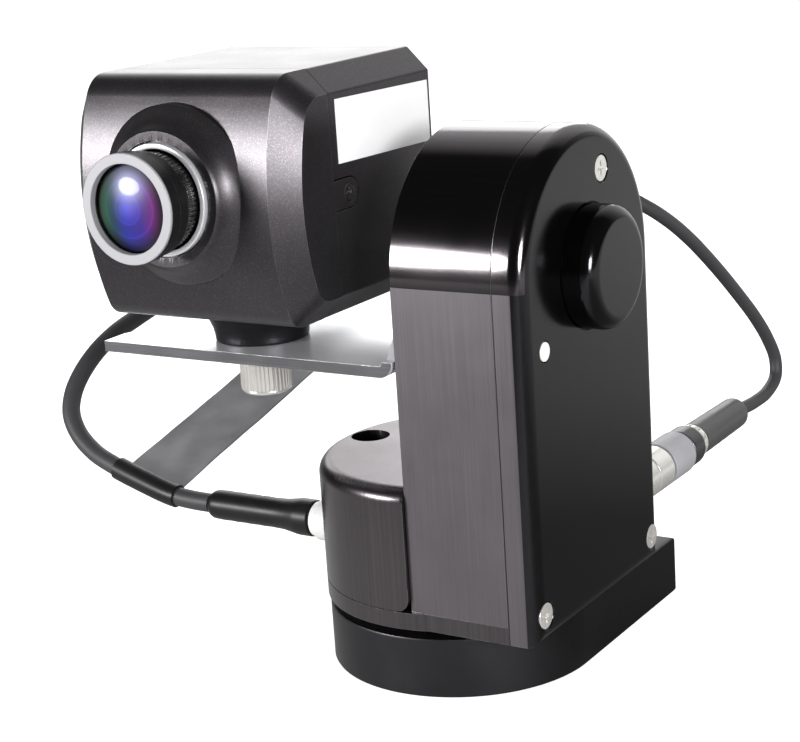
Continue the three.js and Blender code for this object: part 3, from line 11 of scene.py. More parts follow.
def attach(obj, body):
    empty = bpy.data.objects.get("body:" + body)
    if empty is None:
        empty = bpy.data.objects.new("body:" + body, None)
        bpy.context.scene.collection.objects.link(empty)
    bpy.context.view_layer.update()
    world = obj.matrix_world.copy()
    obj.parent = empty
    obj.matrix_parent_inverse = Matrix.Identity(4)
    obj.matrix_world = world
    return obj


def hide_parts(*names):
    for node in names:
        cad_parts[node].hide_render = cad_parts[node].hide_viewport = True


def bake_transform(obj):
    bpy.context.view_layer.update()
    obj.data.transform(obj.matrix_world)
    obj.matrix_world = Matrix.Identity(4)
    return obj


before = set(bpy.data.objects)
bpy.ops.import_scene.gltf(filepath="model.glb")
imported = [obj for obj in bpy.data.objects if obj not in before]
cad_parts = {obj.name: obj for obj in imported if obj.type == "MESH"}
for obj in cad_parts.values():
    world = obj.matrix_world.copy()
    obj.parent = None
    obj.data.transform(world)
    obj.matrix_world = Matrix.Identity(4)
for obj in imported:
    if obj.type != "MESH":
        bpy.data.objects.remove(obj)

bl_info = {
    "name": "Pan and tilt head",
    "version": (1, 0, 0),
    "blender": (4, 5, 0),
    "location": "View3D > Sidebar > Pan Tilt",
    "description": "Dresses the packed pan and tilt head with its surfaces, cables and a plain studio",
    "category": "Object",
}

MM = 0.001

# Turns from a profile's own axis, which is Z, to the way that a piece points
AXES = {
    "Z": Matrix(((1, 0, 0), (0, 1, 0), (0, 0, 1))),
    "X": Matrix(((0, 0, 1), (1, 0, 0), (0, 1, 0))),
    "-X": Matrix(((0, 0, -1), (1, 0, 0), (0, -1, 0))),
    "Y": Matrix(((-1, 0, 0), (0, 0, 1), (0, 1, 0))),
    "-Y": Matrix(((1, 0, 0), (0, 0, -1), (0, 1, 0))),
}

# The surface of each CAD node
SLOTS = {
    "black_anodised": "base_housing base_bottom_plate pan_plate side_cover tilt_cap",
    "satin_anodised": "arm_frame",
    "turret_anodised_painted_shade": "turret_cover",
    "camera_black": "camera_neck camera_front_shell camera_rear_shell camera_rear_panel",
    "bright_aluminium": "camera_platform lens_lock_ring",
    "matte_silver": "lens_front_ring",
    "nickel": "base_screw_1 base_screw_2 base_screw_3 cover_screw_1 cover_screw_2 cover_screw_3 "
              "turret_screw_1 turret_screw_2 control_socket video_socket turret_socket arm_socket "
              "camera_screw camera_video_jack camera_power_jack left_plug right_plug",
    "steel": "pan_axle pan_ring_gear pan_bearing tilt_bearing_arm tilt_bearing_cover tilt_shaft "
             "tilt_gear platform_bolt pan_motor tilt_motor",
    "black_steel": "shell_screw_left shell_screw_right",
    "brass": "tripod_bush pan_pinion tilt_pinion",
    "cable_rubber": "left_cable right_cable",
    "shrink_sleeve": "left_boot right_boot cable_tag left_camera_plug right_camera_plug",
    "lens_black": "lens_barrel",
    "coated_glass": "lens_glass",
    "white_lens": "indicator_lens",
    "board": "control_board sensor_board",
    "inner_plastic": "slip_ring",
}

# Routes of the two cables, in millimetres, the same as in the part's source
LEFT_ROUTE = [
    (-57.7, 0, 20.5), (-62.5, 0, 20.6), (-67.4, 0, 21.1), (-75.6, 0, 23.4), (-82.8, 0.5, 25.5),
    (-88.6, 1.5, 27.4), (-93.7, 3, 30.4), (-97, 5, 33.9), (-98.4, 7.6, 37.2), (-98.7, 11, 40.6),
    (-98.1, 16, 44.5), (-97.3, 22, 47.4), (-96.5, 28, 49.2), (-94.5, 34.5, 51.6), (-90, 42, 56),
    (-82, 48.5, 62.5), (-72, 52, 70), (-61, 51.5, 76.5), (-51, 47, 79.6), (-46.3, 41.5, 80), (-46, 35.7, 80),
]
RIGHT_ROUTE = [
    (18, 87, 22.6), (18, 92.3, 22.1), (17.9, 98.3, 21.7), (17.8, 105.9, 22), (17.6, 111.4, 24.2),
    (17.2, 112.3, 27.9), (16.6, 109.6, 33.1), (16, 103.8, 39.5), (15.2, 96.5, 46.2), (14.2, 86.8, 54.4),
    (13.2, 76.7, 62.1), (12.2, 68.4, 67.6), (10.5, 61.3, 71.9), (5, 56, 76.3), (-4, 51.5, 79.3),
    (-12.5, 47, 80.2), (-18.6, 42, 80.1), (-20, 35.7, 80),
]

# Places and sizes that several pieces share, in millimetres; OVER is how far a cut runs past its piece
WALL = 2.5
OVER = 2
BUSH = (0, 13, 0)
BASE_PORTS = (-10, 10)
BASE_PORT_HEIGHT = 5.15
TURRET_PORT = (0, 0, 20.5)
ARM_PORT = (18, 0, 22.6)
JACKS = {"left": -46, "right": -20}
JACK_HEIGHT = 80
PANEL_REAR = 12.1
PAN_MOTOR = (-9.03, 11.98, 0)
INDICATOR = (0, -17.4, 62.9)
BASE_SCREWS = ((0, -18.65), (18.65, 32.7), (-18.65, 32.7))
TURRET_SCREWS = ((-1.9, -20), (-1.9, 20))
COVER_SCREWS = ((-21.05, 17.8), (21.05, 17.8), (5.9, 89.45))
SIDE_SCREW_BACK = 4.7
SCREW_HEAD = 2.35
SCREW_SUNK = 0.12
CAMERA_SCREW_Y = -11.8
BOLT_X = 0.9
GLASS_RADIUS = 7.5
TONGUE_RADIUS = 2.55

# The lamps' places, sizes and powers, in metres and watts, and the point that they face
LAMPS = {
    "key": ((-0.48, -0.64, 0.21), (0.35, 0.19), 6.2),
    "back": ((-0.50, 0.66, 0.36), (0.80, 0.40), 1.8),
    "front": ((0.64, -0.40, 0.21), (0.26, 0.22), 4.4),
    "side": ((0.80, 0.15, 0.45), (0.90, 0.60), 2.8),
}
LAMP_AIM = Vector((-0.01, -0.02, 0.08))
FLOOR_HALF = 3000

# Brightness of the floor as metal shows it, from the rear to the front: painted light and shade seen only in
# reflections, with a painted shadow of the head close behind it, a painted pool of light close in front of
# it, and dark far in front
FLOOR_PAINTED_LIGHT_AND_SHADOW = (
    (0.0, 0.9), (0.25, 0.5), (0.38, 0.04), (0.47, 0.04), (0.52, 0.62), (0.62, 0.58), (0.70, 0.32),
    (0.77, 0.02), (1.0, 0.0),
)

# The glass' painted reflections from side to side, green to blue to violet, and its painted glow and shade
# from the middle outwards, bright in the middle and at two rings, dark at the rim
GLASS_PAINTED_REFLECTIONS = (
    (0.0, (0.0, 0.014, 0.004)), (0.12, (0.001, 0.075, 0.016)), (0.28, (0.004, 0.030, 0.060)),
    (0.46, (0.012, 0.014, 0.22)), (0.66, (0.030, 0.010, 0.20)), (0.84, (0.11, 0.006, 0.11)),
    (1.0, (0.05, 0.0, 0.04)),
)
GLASS_PAINTED_GLOW_AND_SHADE = (
    (0.0, (2.2, 2.2, 1.8)), (0.30, (1.0, 1.0, 1.1)), (0.34, (1.3, 1.3, 1.5)), (0.38, (0.8, 0.8, 0.8)),
    (0.62, (0.9, 0.9, 0.9)), (0.66, (1.2, 1.3, 1.3)), (0.70, (0.7, 0.7, 0.7)), (0.88, (0.25, 0.25, 0.25)),
    (1.0, (0.02, 0.02, 0.02)),
)


# Sizes and colours that a user may change

def length_setting(name, description, default):
    """A length, in metres."""
    return FloatProperty(name=name, description=description, default=default, unit="LENGTH")


def count_setting(name, description, default, least, most):
    """A number of like details."""
    return IntProperty(name=name, description=description, default=default, min=least, max=most)


def share_setting(name, description, default):
    """A value from nought to one."""
    return FloatProperty(name=name, description=description, default=default, min=0, max=1)


def angle_setting(name, description, degrees):
    """An angle, its default in degrees."""
    return FloatProperty(name=name, description=description, default=math.radians(degrees),
                         subtype="ANGLE", unit="ROTATION")


def colour_setting(name, description, default):
    """A colour."""
    return FloatVectorProperty(name=name, description=description, default=default,
                               subtype="COLOR", min=0, max=1)


class HeadSizes(bpy.types.PropertyGroup):
    """Sizes of the head's housings, in metres"""
    base_radius: length_setting("Base radius", "Radius of the base's round front", 0.02485)
    base_rear: length_setting("Base rear", "Distance of the base's rear face from the pan axis", 0.0389)
    base_height: length_setting("Base height", "Height of the base", 0.0111)
    plate_under: length_setting("Plate underside", "Height of the pan plate's underside", 0.0127)
    plate_top: length_setting("Plate top", "Height of the pan plate's top", 0.0158)
    turret_radius: length_setting("Turret radius", "Radius of the turret cover", 0.0252)
    turret_top: length_setting("Turret top", "Height of the turret cover's top", 0.0383)
    turret_fillet: length_setting("Turret rounding", "Rounding of the turret's top edge", 0.0026)
    arm_inner: length_setting("Arm inner face", "Place of the arm's inner face along X", 0.0035)
    arm_seam: length_setting("Arm seam", "Place of the seam between arm and side cover", 0.0229)
    arm_outer: length_setting("Arm outer face", "Place of the side cover's outer face", 0.02865)
    arm_half: length_setting("Arm half depth", "Half the arm's depth, and the radius of its top", 0.0242)
    cover_fillet: length_setting("Cover rounding", "Rounding of the side cover's outer edge", 0.00275)
    tilt_height: length_setting("Tilt axis height", "Height of the tilt axis", 0.0737)
    cap_radius: length_setting("Cap radius", "Radius of the tilt cap", 0.0107)


class CameraSizes(bpy.types.PropertyGroup):
    """Sizes of the camera and its platform, in metres"""
    middle: length_setting("Middle", "Place of the camera's middle along X", -0.0327)
    width: length_setting("Width", "Width of the camera body", 0.04794)
    height: length_setting("Height", "Height of the camera body", 0.04325)
    bottom: length_setting("Underside", "Height of the camera body's underside", 0.0663)
    seam: length_setting("Seam", "Place of the seam between the shells along Y", -0.0203)
    rear: length_setting("Rear", "Place of the rear edge along Y", 0.0127)
    chamfer: length_setting("Chamfer", "Chamfer of the long edges", 0.0042)
    lens_height: length_setting("Lens height", "Height of the lens axis", 0.0896)
    knob_radius: length_setting("Screw radius", "Radius of the knurled camera screw", 0.00476)
    knob_ridges: count_setting("Screw ridges", "Number of ridges round the camera screw", 36, 8, 60)
    barrel_ribs: count_setting("Barrel ribs", "Number of ribs round the lens barrel", 3, 1, 8)
    barrel_teeth: count_setting("Barrel teeth", "Number of teeth round the lens barrel", 64, 12, 120)
    platform_top: length_setting("Platform top", "Height of the platform's top", 0.0598)
    platform_thickness: length_setting("Platform thickness", "Thickness of the bent plate", 0.002)


class CableSizes(bpy.types.PropertyGroup):
    """Sizes of the cables, in metres"""
    left_radius: length_setting("Left cable radius", "Radius of the cable on the turret's side", 0.0019)
    right_radius: length_setting("Right cable radius", "Radius of the cable behind the arm", 0.0014)
    tag_width: length_setting("Tag width", "Width of the tag's flag", 0.013)
    tag_length: length_setting("Tag length", "Length of the tag's flag", 0.059)
    pins: count_setting("Pins", "Number of pins in each socket", 4, 2, 10)
    crimps: count_setting("Crimp marks", "Number of marks round the crimped sleeve", 12, 4, 24)


class Finishes(bpy.types.PropertyGroup):
    """Colours of the surfaces"""
    anodised: colour_setting("Black anodised", "Colour of the base and covers", (0.042, 0.040, 0.043))
    satin: colour_setting("Satin anodised", "Colour of the arm and turret", (0.150, 0.137, 0.146))
    camera: colour_setting("Camera coat", "Colour of the camera's metallic coat", (0.072, 0.067, 0.072))
    aluminium: colour_setting("Bright aluminium", "Colour of the polished platform", (0.90, 0.905, 0.94))
    nickel: colour_setting("Nickel", "Colour of the plated screws and plugs", (0.82, 0.80, 0.76))
    rubber: colour_setting("Cable jacket", "Colour of the cable jackets", (0.036, 0.035, 0.038))
    sleeve: colour_setting("Shrink sleeve", "Colour of the boots and the tag", (0.008, 0.008, 0.009))


class StudioSettings(bpy.types.PropertyGroup):
    """Light and camera"""
    azimuth: angle_setting("Azimuth", "Direction of the view round the object", 32.748)
    elevation: angle_setting("Elevation", "Height of the view above level", 14.792)
    roll: angle_setting("Roll", "Roll of the camera", -3.851)
    focal: FloatProperty(name="Focal length", description="Focal length of the view, in millimetres",
                         default=88.64)
    place: FloatVectorProperty(name="Place", description="Place of the camera", subtype="TRANSLATION",
                               unit="LENGTH", default=(0.177835, -0.293662, 0.143991))
    ambient: share_setting("Ambient", "Strength of the even light round the object", 0.45)
    dark: share_setting("Dark side", "Brightness of the room behind the camera, as metal shows it", 0.04)


def in_mm(settings, *names):
    """The named lengths of the settings, in millimetres."""
    return [getattr(settings, name) / MM for name in names]


# Shapes, in millimetres

def solid(name, points, faces):
    """A closed object from points in millimetres, its faces outward."""
    mesh = bpy.data.meshes.new(name)
    mesh.from_pydata([Vector(point) * MM for point in points], [], faces)
    form = bmesh.new()
    form.from_mesh(mesh)
    bmesh.ops.remove_doubles(form, verts=form.verts, dist=1e-7)
    bmesh.ops.recalc_face_normals(form, faces=form.faces)
    form.to_mesh(mesh)
    form.free()
    piece = bpy.data.objects.new(name, mesh)
    bpy.context.scene.collection.objects.link(piece)
    return piece


def circle(radius, steps):
    """Points round a circle, as pairs."""
    angles = [2 * math.pi * step / steps for step in range(steps)]
    return [(radius * math.cos(angle), radius * math.sin(angle)) for angle in angles]


def turned(profile, place=(0, 0, 0), axis="Z", steps=96):
    """A turned piece: profile is a list of (radius, distance along the axis)."""
    points, rows, faces = [], [], []
    for radius, height in profile:
        start = len(points)
        if radius == 0:
            points.append(Vector((0, 0, height)))
            rows.append([start] * steps)
            continue
        points += [Vector((x, y, height)) for x, y in circle(radius, steps)]
        rows.append(list(range(start, start + steps)))
    if profile[0][0] and profile[-1][0]:
        rows.append(rows[0])
    for low, high in zip(rows, rows[1:]):
        for step in range(steps):
            after = (step + 1) % steps
            corners = list(dict.fromkeys([low[step], low[after], high[after], high[step]]))
            if len(corners) > 2:
                faces.append(corners)
    return solid("turned", [AXES[axis] @ point + Vector(place) for point in points], faces)


def eased(profile, radius=0.2, steps=3):
    """The profile with its corners rounded off."""
    result = []
    last = len(profile) - 1
    for index, (x, y) in enumerate(profile):
        if index in (0, last) or x == 0:
            result.append((x, y))
            continue
        corner = Vector((x, y))
        before, after = Vector(profile[index - 1]) - corner, Vector(profile[index + 1]) - corner
        reach = min(radius, before.length * 0.45, after.length * 0.45)
        if reach < 1e-4 or abs(before.normalized().dot(after.normalized()) + 1) < 0.01:
            result.append((x, y))
            continue
        start, end = corner + before.normalized() * reach, corner + after.normalized() * reach
        for step in range(steps + 1):
            t = step / steps
            point = start * (1 - t) ** 2 + corner * 2 * t * (1 - t) + end * t ** 2
            result.append((point.x, point.y))
    return result


def arc(centre, radius, start, end, steps):
    """Points along an arc, angles in radians."""
    angles = [start + (end - start) * step / steps for step in range(steps + 1)]
    return [(centre[0] + radius * math.cos(angle), centre[1] + radius * math.sin(angle)) for angle in angles]


def layered(sections):
    """A closed form through loops of equally many points."""
    count = len(sections[0])
    points = [point for section in sections for point in section]
    faces = []
    for level in range(len(sections) - 1):
        low, high = level * count, (level + 1) * count
        for step in range(count):
            after = (step + 1) % count
            faces.append([low + step, low + after, high + after, high + step])
    faces.append(list(range(count))[::-1])
    faces.append(list(range((len(sections) - 1) * count, len(sections) * count)))
    return solid("layered", points, faces)


def rim(depth_from, depth_to, radius, steps):
    """Pairs of depth and inset for a rounded outer edge."""
    angles = [math.pi / 2 * step / steps for step in range(steps + 1)]
    return [(depth_from, 0)] + [(depth_to - radius + radius * math.sin(angle),
                                 radius - radius * math.cos(angle))
                                for angle in angles]


def box(low, high):
    """A block between two corners."""
    (x0, y0, z0), (x1, y1, z1) = low, high
    return layered([[(x0, y0, z), (x1, y0, z), (x1, y1, z), (x0, y1, z)] for z in (z0, z1)])


def rod(radius, start, end, place=(0, 0, 0), axis="Z", steps=64):
    """A plain round bar for cutting and joining."""
    return turned([(0, start), (radius, start), (radius, end), (0, end)], place, axis, steps)


def evaluated(piece):
    """The piece with its modifiers applied."""
    mesh = bpy.data.meshes.new_from_object(piece.evaluated_get(bpy.context.evaluated_depsgraph_get()))
    piece.modifiers.clear()
    old = piece.data
    piece.data = mesh
    bpy.data.meshes.remove(old)
    return piece


def combined(piece, operation, *others):
    """The piece joined with, cut by or kept within the others, which are used up."""
    for other in others:
        modifier = piece.modifiers.new("combine", "BOOLEAN")
        modifier.operation = operation
        modifier.solver = "EXACT"
        modifier.object = other
    evaluated(piece)
    for other in others:
        bpy.data.objects.remove(other)
    return piece


def softened(piece, width, angle=35, segments=2):
    """The piece with its sharp edges slightly rounded."""
    form = bmesh.new()
    form.from_mesh(piece.data)
    bmesh.ops.remove_doubles(form, verts=form.verts, dist=2e-6)
    bmesh.ops.dissolve_degenerate(form, edges=form.edges, dist=1e-6)
    form.to_mesh(piece.data)
    form.free()
    modifier = piece.modifiers.new("edges", "BEVEL")
    modifier.width = width * MM
    modifier.segments = segments
    modifier.limit_method = "ANGLE"
    modifier.angle_limit = math.radians(angle)
    modifier.use_clamp_overlap = True
    return evaluated(piece)


def finished(name, parts, body, replaces=(), angle=40, others=()):
    """One smooth piece from pairs of shape and surface, riding on its body.

    others are pairs of a surface and a test of a face's centre and normal.
    """
    form = bmesh.new()
    surfaces = []
    for shape, surface_name in parts:
        if surface_name not in surfaces:
            surfaces.append(surface_name)
        before = len(form.faces)
        form.from_mesh(shape.data)
        form.faces.ensure_lookup_table()
        for face in form.faces[before:]:
            face.material_index = surfaces.index(surface_name)
        bpy.data.objects.remove(shape)
    mesh = bpy.data.meshes.new(name)
    form.to_mesh(mesh)
    form.free()
    for surface_name in surfaces:
        mesh.materials.append(SURFACES[surface_name])
    for index, (surface_name, chosen) in enumerate(others):
        mesh.materials.append(SURFACES[surface_name])
        for face in mesh.polygons:
            if chosen(face.center / MM, face.normal):
                face.material_index = len(surfaces) + index
    mesh.polygons.foreach_set("use_smooth", [True] * len(mesh.polygons))
    mesh.set_sharp_from_angle(angle=math.radians(angle))
    piece = bpy.data.objects.new(name, mesh)
    bpy.context.scene.collection.objects.link(piece)
    weighted = piece.modifiers.new("normals", "WEIGHTED_NORMAL")
    weighted.keep_sharp = True
    weighted.weight = 90
    evaluated(piece)
    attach(piece, body)
    if replaces:
        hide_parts(*replaces)
    return piece


def spline(route, per_span=14):
    """Points along a smooth curve through the route (centripetal Catmull-Rom), in millimetres."""
    knots = [Vector(point) for point in route]
    knots = [knots[0] * 2 - knots[1]] + knots + [knots[-1] * 2 - knots[-2]]
    points = []
    for a, b, c, d in zip(knots, knots[1:], knots[2:], knots[3:]):
        t0 = 0
        t1 = t0 + (b - a).length ** 0.5
        t2 = t1 + (c - b).length ** 0.5
        t3 = t2 + (d - c).length ** 0.5
        for step in range(per_span):
            t = t1 + (t2 - t1) * step / per_span
            ab = a * ((t1 - t) / (t1 - t0)) + b * ((t - t0) / (t1 - t0))
            bc = b * ((t2 - t) / (t2 - t1)) + c * ((t - t1) / (t2 - t1))
            cd = c * ((t3 - t) / (t3 - t2)) + d * ((t - t2) / (t3 - t2))
            abc = ab * ((t2 - t) / (t2 - t0)) + bc * ((t - t0) / (t2 - t0))
            bcd = bc * ((t3 - t) / (t3 - t1)) + cd * ((t - t1) / (t3 - t1))
            points.append(abc * ((t2 - t) / (t2 - t1)) + bcd * ((t - t1) / (t2 - t1)))
    points.append(knots[-2])
    return points


def along(points, radii, sides=24, hollow=None):
    """A tube along points, with closed ends, or a hollow sleeve of that inner radius."""
    verts, faces, frames = [], [], []
    normal = Vector((0, 0, 1))
    last = len(points) - 1
    for index, point in enumerate(points):
        ahead = (points[min(index + 1, last)] - points[max(index - 1, 0)]).normalized()
        normal = (normal - ahead * normal.dot(ahead)).normalized()
        frames.append((point, normal.copy(), ahead.cross(normal)))

    def ring(station, radius):
        point, up, side = frames[station]
        start = len(verts)
        verts.extend(point + up * a + side * b for a, b in circle(radius, sides))
        return list(range(start, start + sides))

    rows = [ring(station, radii[station]) for station in range(last + 1)]
    if hollow:
        rows += [ring(station, hollow) for station in range(last, -1, -1)]
        rows.append(rows[0])
    for low, high in zip(rows, rows[1:]):
        for step in range(sides):
            after = (step + 1) % sides
            faces.append([low[step], low[after], high[after], high[step]])
    if not hollow:
        faces += [rows[0][::-1], rows[-1]]
    return solid("tube", verts, faces)


def length_of(points):
    """Length of a row of points."""
    return sum((b - a).length for a, b in zip(points, points[1:]))


# Node trees, and surface effects that the materials share

def new_tree(name, kind, inputs, outputs):
    """A node tree with sockets given as (name, type) or (name, type, default), and its two end nodes."""
    tree = bpy.data.node_groups.new(name, kind)
    for way, sockets in (("INPUT", inputs), ("OUTPUT", outputs)):
        for title, sort, *default in sockets:
            socket = tree.interface.new_socket(name=title, in_out=way, socket_type="NodeSocket" + sort)
            if default:
                socket.default_value = default[0]
    return tree, tree.nodes.new("NodeGroupInput"), tree.nodes.new("NodeGroupOutput")


def fed(tree, node, inputs):
    """The node with its inputs, by name or number, linked to sockets or set to values."""
    for name, value in inputs.items():
        if isinstance(value, bpy.types.NodeSocket):
            tree.links.new(value, node.inputs[name])
        else:
            node.inputs[name].default_value = value
    return node


def added(tree, kind, inputs, **settings):
    """A new node with its settings and inputs."""
    node = tree.nodes.new(kind)
    for name, value in settings.items():
        setattr(node, name, value)
    return fed(tree, node, inputs)


def maths(tree, operation, a, b, clamp=False):
    """A Math node's output."""
    return added(tree, "ShaderNodeMath", {0: a, 1: b}, operation=operation, use_clamp=clamp).outputs[0]


def vector_maths(tree, operation, *values):
    """A Vector Math node's output."""
    node = added(tree, "ShaderNodeVectorMath", dict(enumerate(values)), operation=operation)
    return node.outputs["Value" if operation in ("DOT_PRODUCT", "LENGTH") else "Vector"]


def ranged(tree, value, low, high, to_low=0.0, to_high=1.0):
    """A Map Range node's output."""
    limits = {"From Min": low, "From Max": high, "To Min": to_low, "To Max": to_high}
    return added(tree, "ShaderNodeMapRange", {"Value": value, **limits}).outputs["Result"]


def noise(tree, vector, scale, detail=3.0, roughness=0.55):
    """A Noise Texture's value."""
    inputs = {"Vector": vector, "Scale": scale, "Detail": detail, "Roughness": roughness}
    return added(tree, "ShaderNodeTexNoise", inputs).outputs["Fac"]


def mixed(tree, low, high, factor, blend="MIX"):
    """A mix of two colours or colour sockets."""
    low, high = ((*value, 1) if isinstance(value, tuple) else value for value in (low, high))
    inputs = {6: low, 7: high, 0: factor}
    return added(tree, "ShaderNodeMix", inputs, data_type="RGBA", blend_type=blend).outputs[2]


def coloured(tree, value, stops):
    """A colour ramp's output: stops are (place, colour)."""
    ramp = added(tree, "ShaderNodeValToRGB", {0: value})
    ramp.color_ramp.elements[0].color = (*stops[0][1], 1)
    ramp.color_ramp.elements[1].color = (*stops[-1][1], 1)
    for position, colour in stops[1:-1]:
        ramp.color_ramp.elements.new(position).color = (*colour, 1)
    return ramp.outputs["Color"]


def object_place(tree):
    """The place on the object."""
    return tree.nodes.new("ShaderNodeTexCoord").outputs["Object"]


def make_edge_wear():
    """Thin bright lines along the edges: wear on most surfaces, painted highlights on the bracket's cut
    edges.
    """
    inputs = [("Vector", "Vector"), ("Width", "Float", 0.0002), ("Amount", "Float", 0.6)]
    tree, given, out = new_tree("Edge wear", "ShaderNodeTree", inputs, [("Mask", "Float")])
    bevel = added(tree, "ShaderNodeBevel", {"Radius": given.outputs["Width"]}, samples=6)
    flat = tree.nodes.new("ShaderNodeNewGeometry")
    likeness = vector_maths(tree, "DOT_PRODUCT", bevel.outputs["Normal"], flat.outputs["Normal"])
    edge = ranged(tree, likeness, 0.995, 0.90)
    patchy = ranged(tree, noise(tree, given.outputs["Vector"], 420, 4), 0.35, 0.62)
    mask = maths(tree, "MULTIPLY", maths(tree, "MULTIPLY", edge, patchy), given.outputs["Amount"], True)
    fed(tree, out, {"Mask": mask})
    return tree


def make_grain():
    """Fine blasted grain, as a height and a fleck mask."""
    inputs = [("Vector", "Vector"), ("Density", "Float", 5000.0)]
    tree, given, out = new_tree("Fine grain", "ShaderNodeTree", inputs,
                                [("Height", "Float"), ("Fleck", "Float")])
    vector, density = given.outputs["Vector"], given.outputs["Density"]
    cells = added(tree, "ShaderNodeTexVoronoi", {"Vector": vector, "Scale": density})
    spread = added(tree, "ShaderNodeSeparateColor", {"Color": cells.outputs["Color"]})
    fleck = ranged(tree, spread.outputs["Red"], 0.80, 0.98)
    fed(tree, out, {"Height": noise(tree, vector, density, 2), "Fleck": fleck})
    return tree


def make_brushing():
    """Fine machining lines along one direction."""
    inputs = [("Vector", "Vector"), ("Stretch", "Vector", (6000, 6000, 60))]
    outputs = [("Height", "Float"), ("Streak", "Float")]
    tree, given, out = new_tree("Brushed lines", "ShaderNodeTree", inputs, outputs)
    scaled = vector_maths(tree, "MULTIPLY", given.outputs["Vector"], given.outputs["Stretch"])
    streak = ranged(tree, noise(tree, scaled, 0.45, 2), 0.3, 0.7)
    fed(tree, out, {"Height": noise(tree, scaled, 1.0, 3, 0.7), "Streak": streak})
    return tree


def make_handling():
    """Soft uneven marks left by handling, and specks of dust."""
    outputs = [("Smudge", "Float"), ("Dust", "Float")]
    tree, given, out = new_tree("Handling marks", "ShaderNodeTree", [("Vector", "Vector")], outputs)
    smudge = ranged(tree, noise(tree, given.outputs["Vector"], 70, 5, 0.6), 0.35, 0.7)
    dust = ranged(tree, noise(tree, given.outputs["Vector"], 2600, 2), 0.70, 0.78)
    fed(tree, out, {"Smudge": smudge, "Dust": dust})
    return tree


EFFECTS = {}
SURFACES = {}
TREES = {}
BARE_METAL = (0.45, 0.44, 0.42)


def dimmed(colour, share):
    """The colour times a share."""
    return tuple(value * share for value in colour)


def new_material(name):
    """A new material, its node tree and its shader."""
    material = bpy.data.materials.new(name)
    material.use_nodes = True
    return material, material.node_tree, material.node_tree.nodes["Principled BSDF"]


def surface(name, colour, roughness, metallic=0.0, grain=5000.0, grain_height=0.00001, fleck=None,
            fleck_amount=0.3, brush=None, brush_height=0.0, wear=0.0, wear_colour=BARE_METAL, streak=0.15,
            smudge=0.08, dust=0.15, specular=None):
    """A material with its grain, brushing, handling marks and bright edges, which are wear on most materials
    and painted highlights on the bracket's cut edges, kept under its name.
    """
    material, tree, shader = new_material(name)
    place = object_place(tree)

    def effect(title, inputs):
        return added(tree, "ShaderNodeGroup", {"Vector": place, **inputs}, node_tree=EFFECTS[title]).outputs

    marks = effect("handling", {})
    grains = effect("grain", {"Density": grain})
    lines = effect("brushing", {"Stretch": brush}) if brush else None
    lighter = tuple(min(1, value * (1 + streak)) for value in colour)
    tint = mixed(tree, dimmed(colour, 1 - streak), lighter, lines["Streak"] if brush else marks["Smudge"])
    if fleck:
        tint = mixed(tree, tint, fleck, maths(tree, "MULTIPLY", grains["Fleck"], fleck_amount))
    grey = tuple(min(1, value * 0.7 + 0.06) for value in colour)
    tint = mixed(tree, tint, grey, maths(tree, "MULTIPLY", marks["Dust"], dust))
    if wear:
        tint = mixed(tree, tint, wear_colour, effect("wear", {"Amount": wear})["Mask"])
    rough = maths(tree, "ADD", maths(tree, "MULTIPLY", marks["Smudge"], smudge), roughness - smudge / 2)
    height = maths(tree, "MULTIPLY", grains["Height"], grain_height)
    if brush:
        height = maths(tree, "ADD", height, maths(tree, "MULTIPLY", lines["Height"], brush_height))
    bump = added(tree, "ShaderNodeBump", {"Distance": 1.0, "Strength": 1.0,
                                          "Height": height}).outputs["Normal"]
    fed(tree, shader, {"Metallic": metallic, "Base Color": tint, "Roughness": rough, "Normal": bump})
    if specular is not None:
        fed(tree, shader, {"Specular IOR Level": specular})
    SURFACES[name] = material


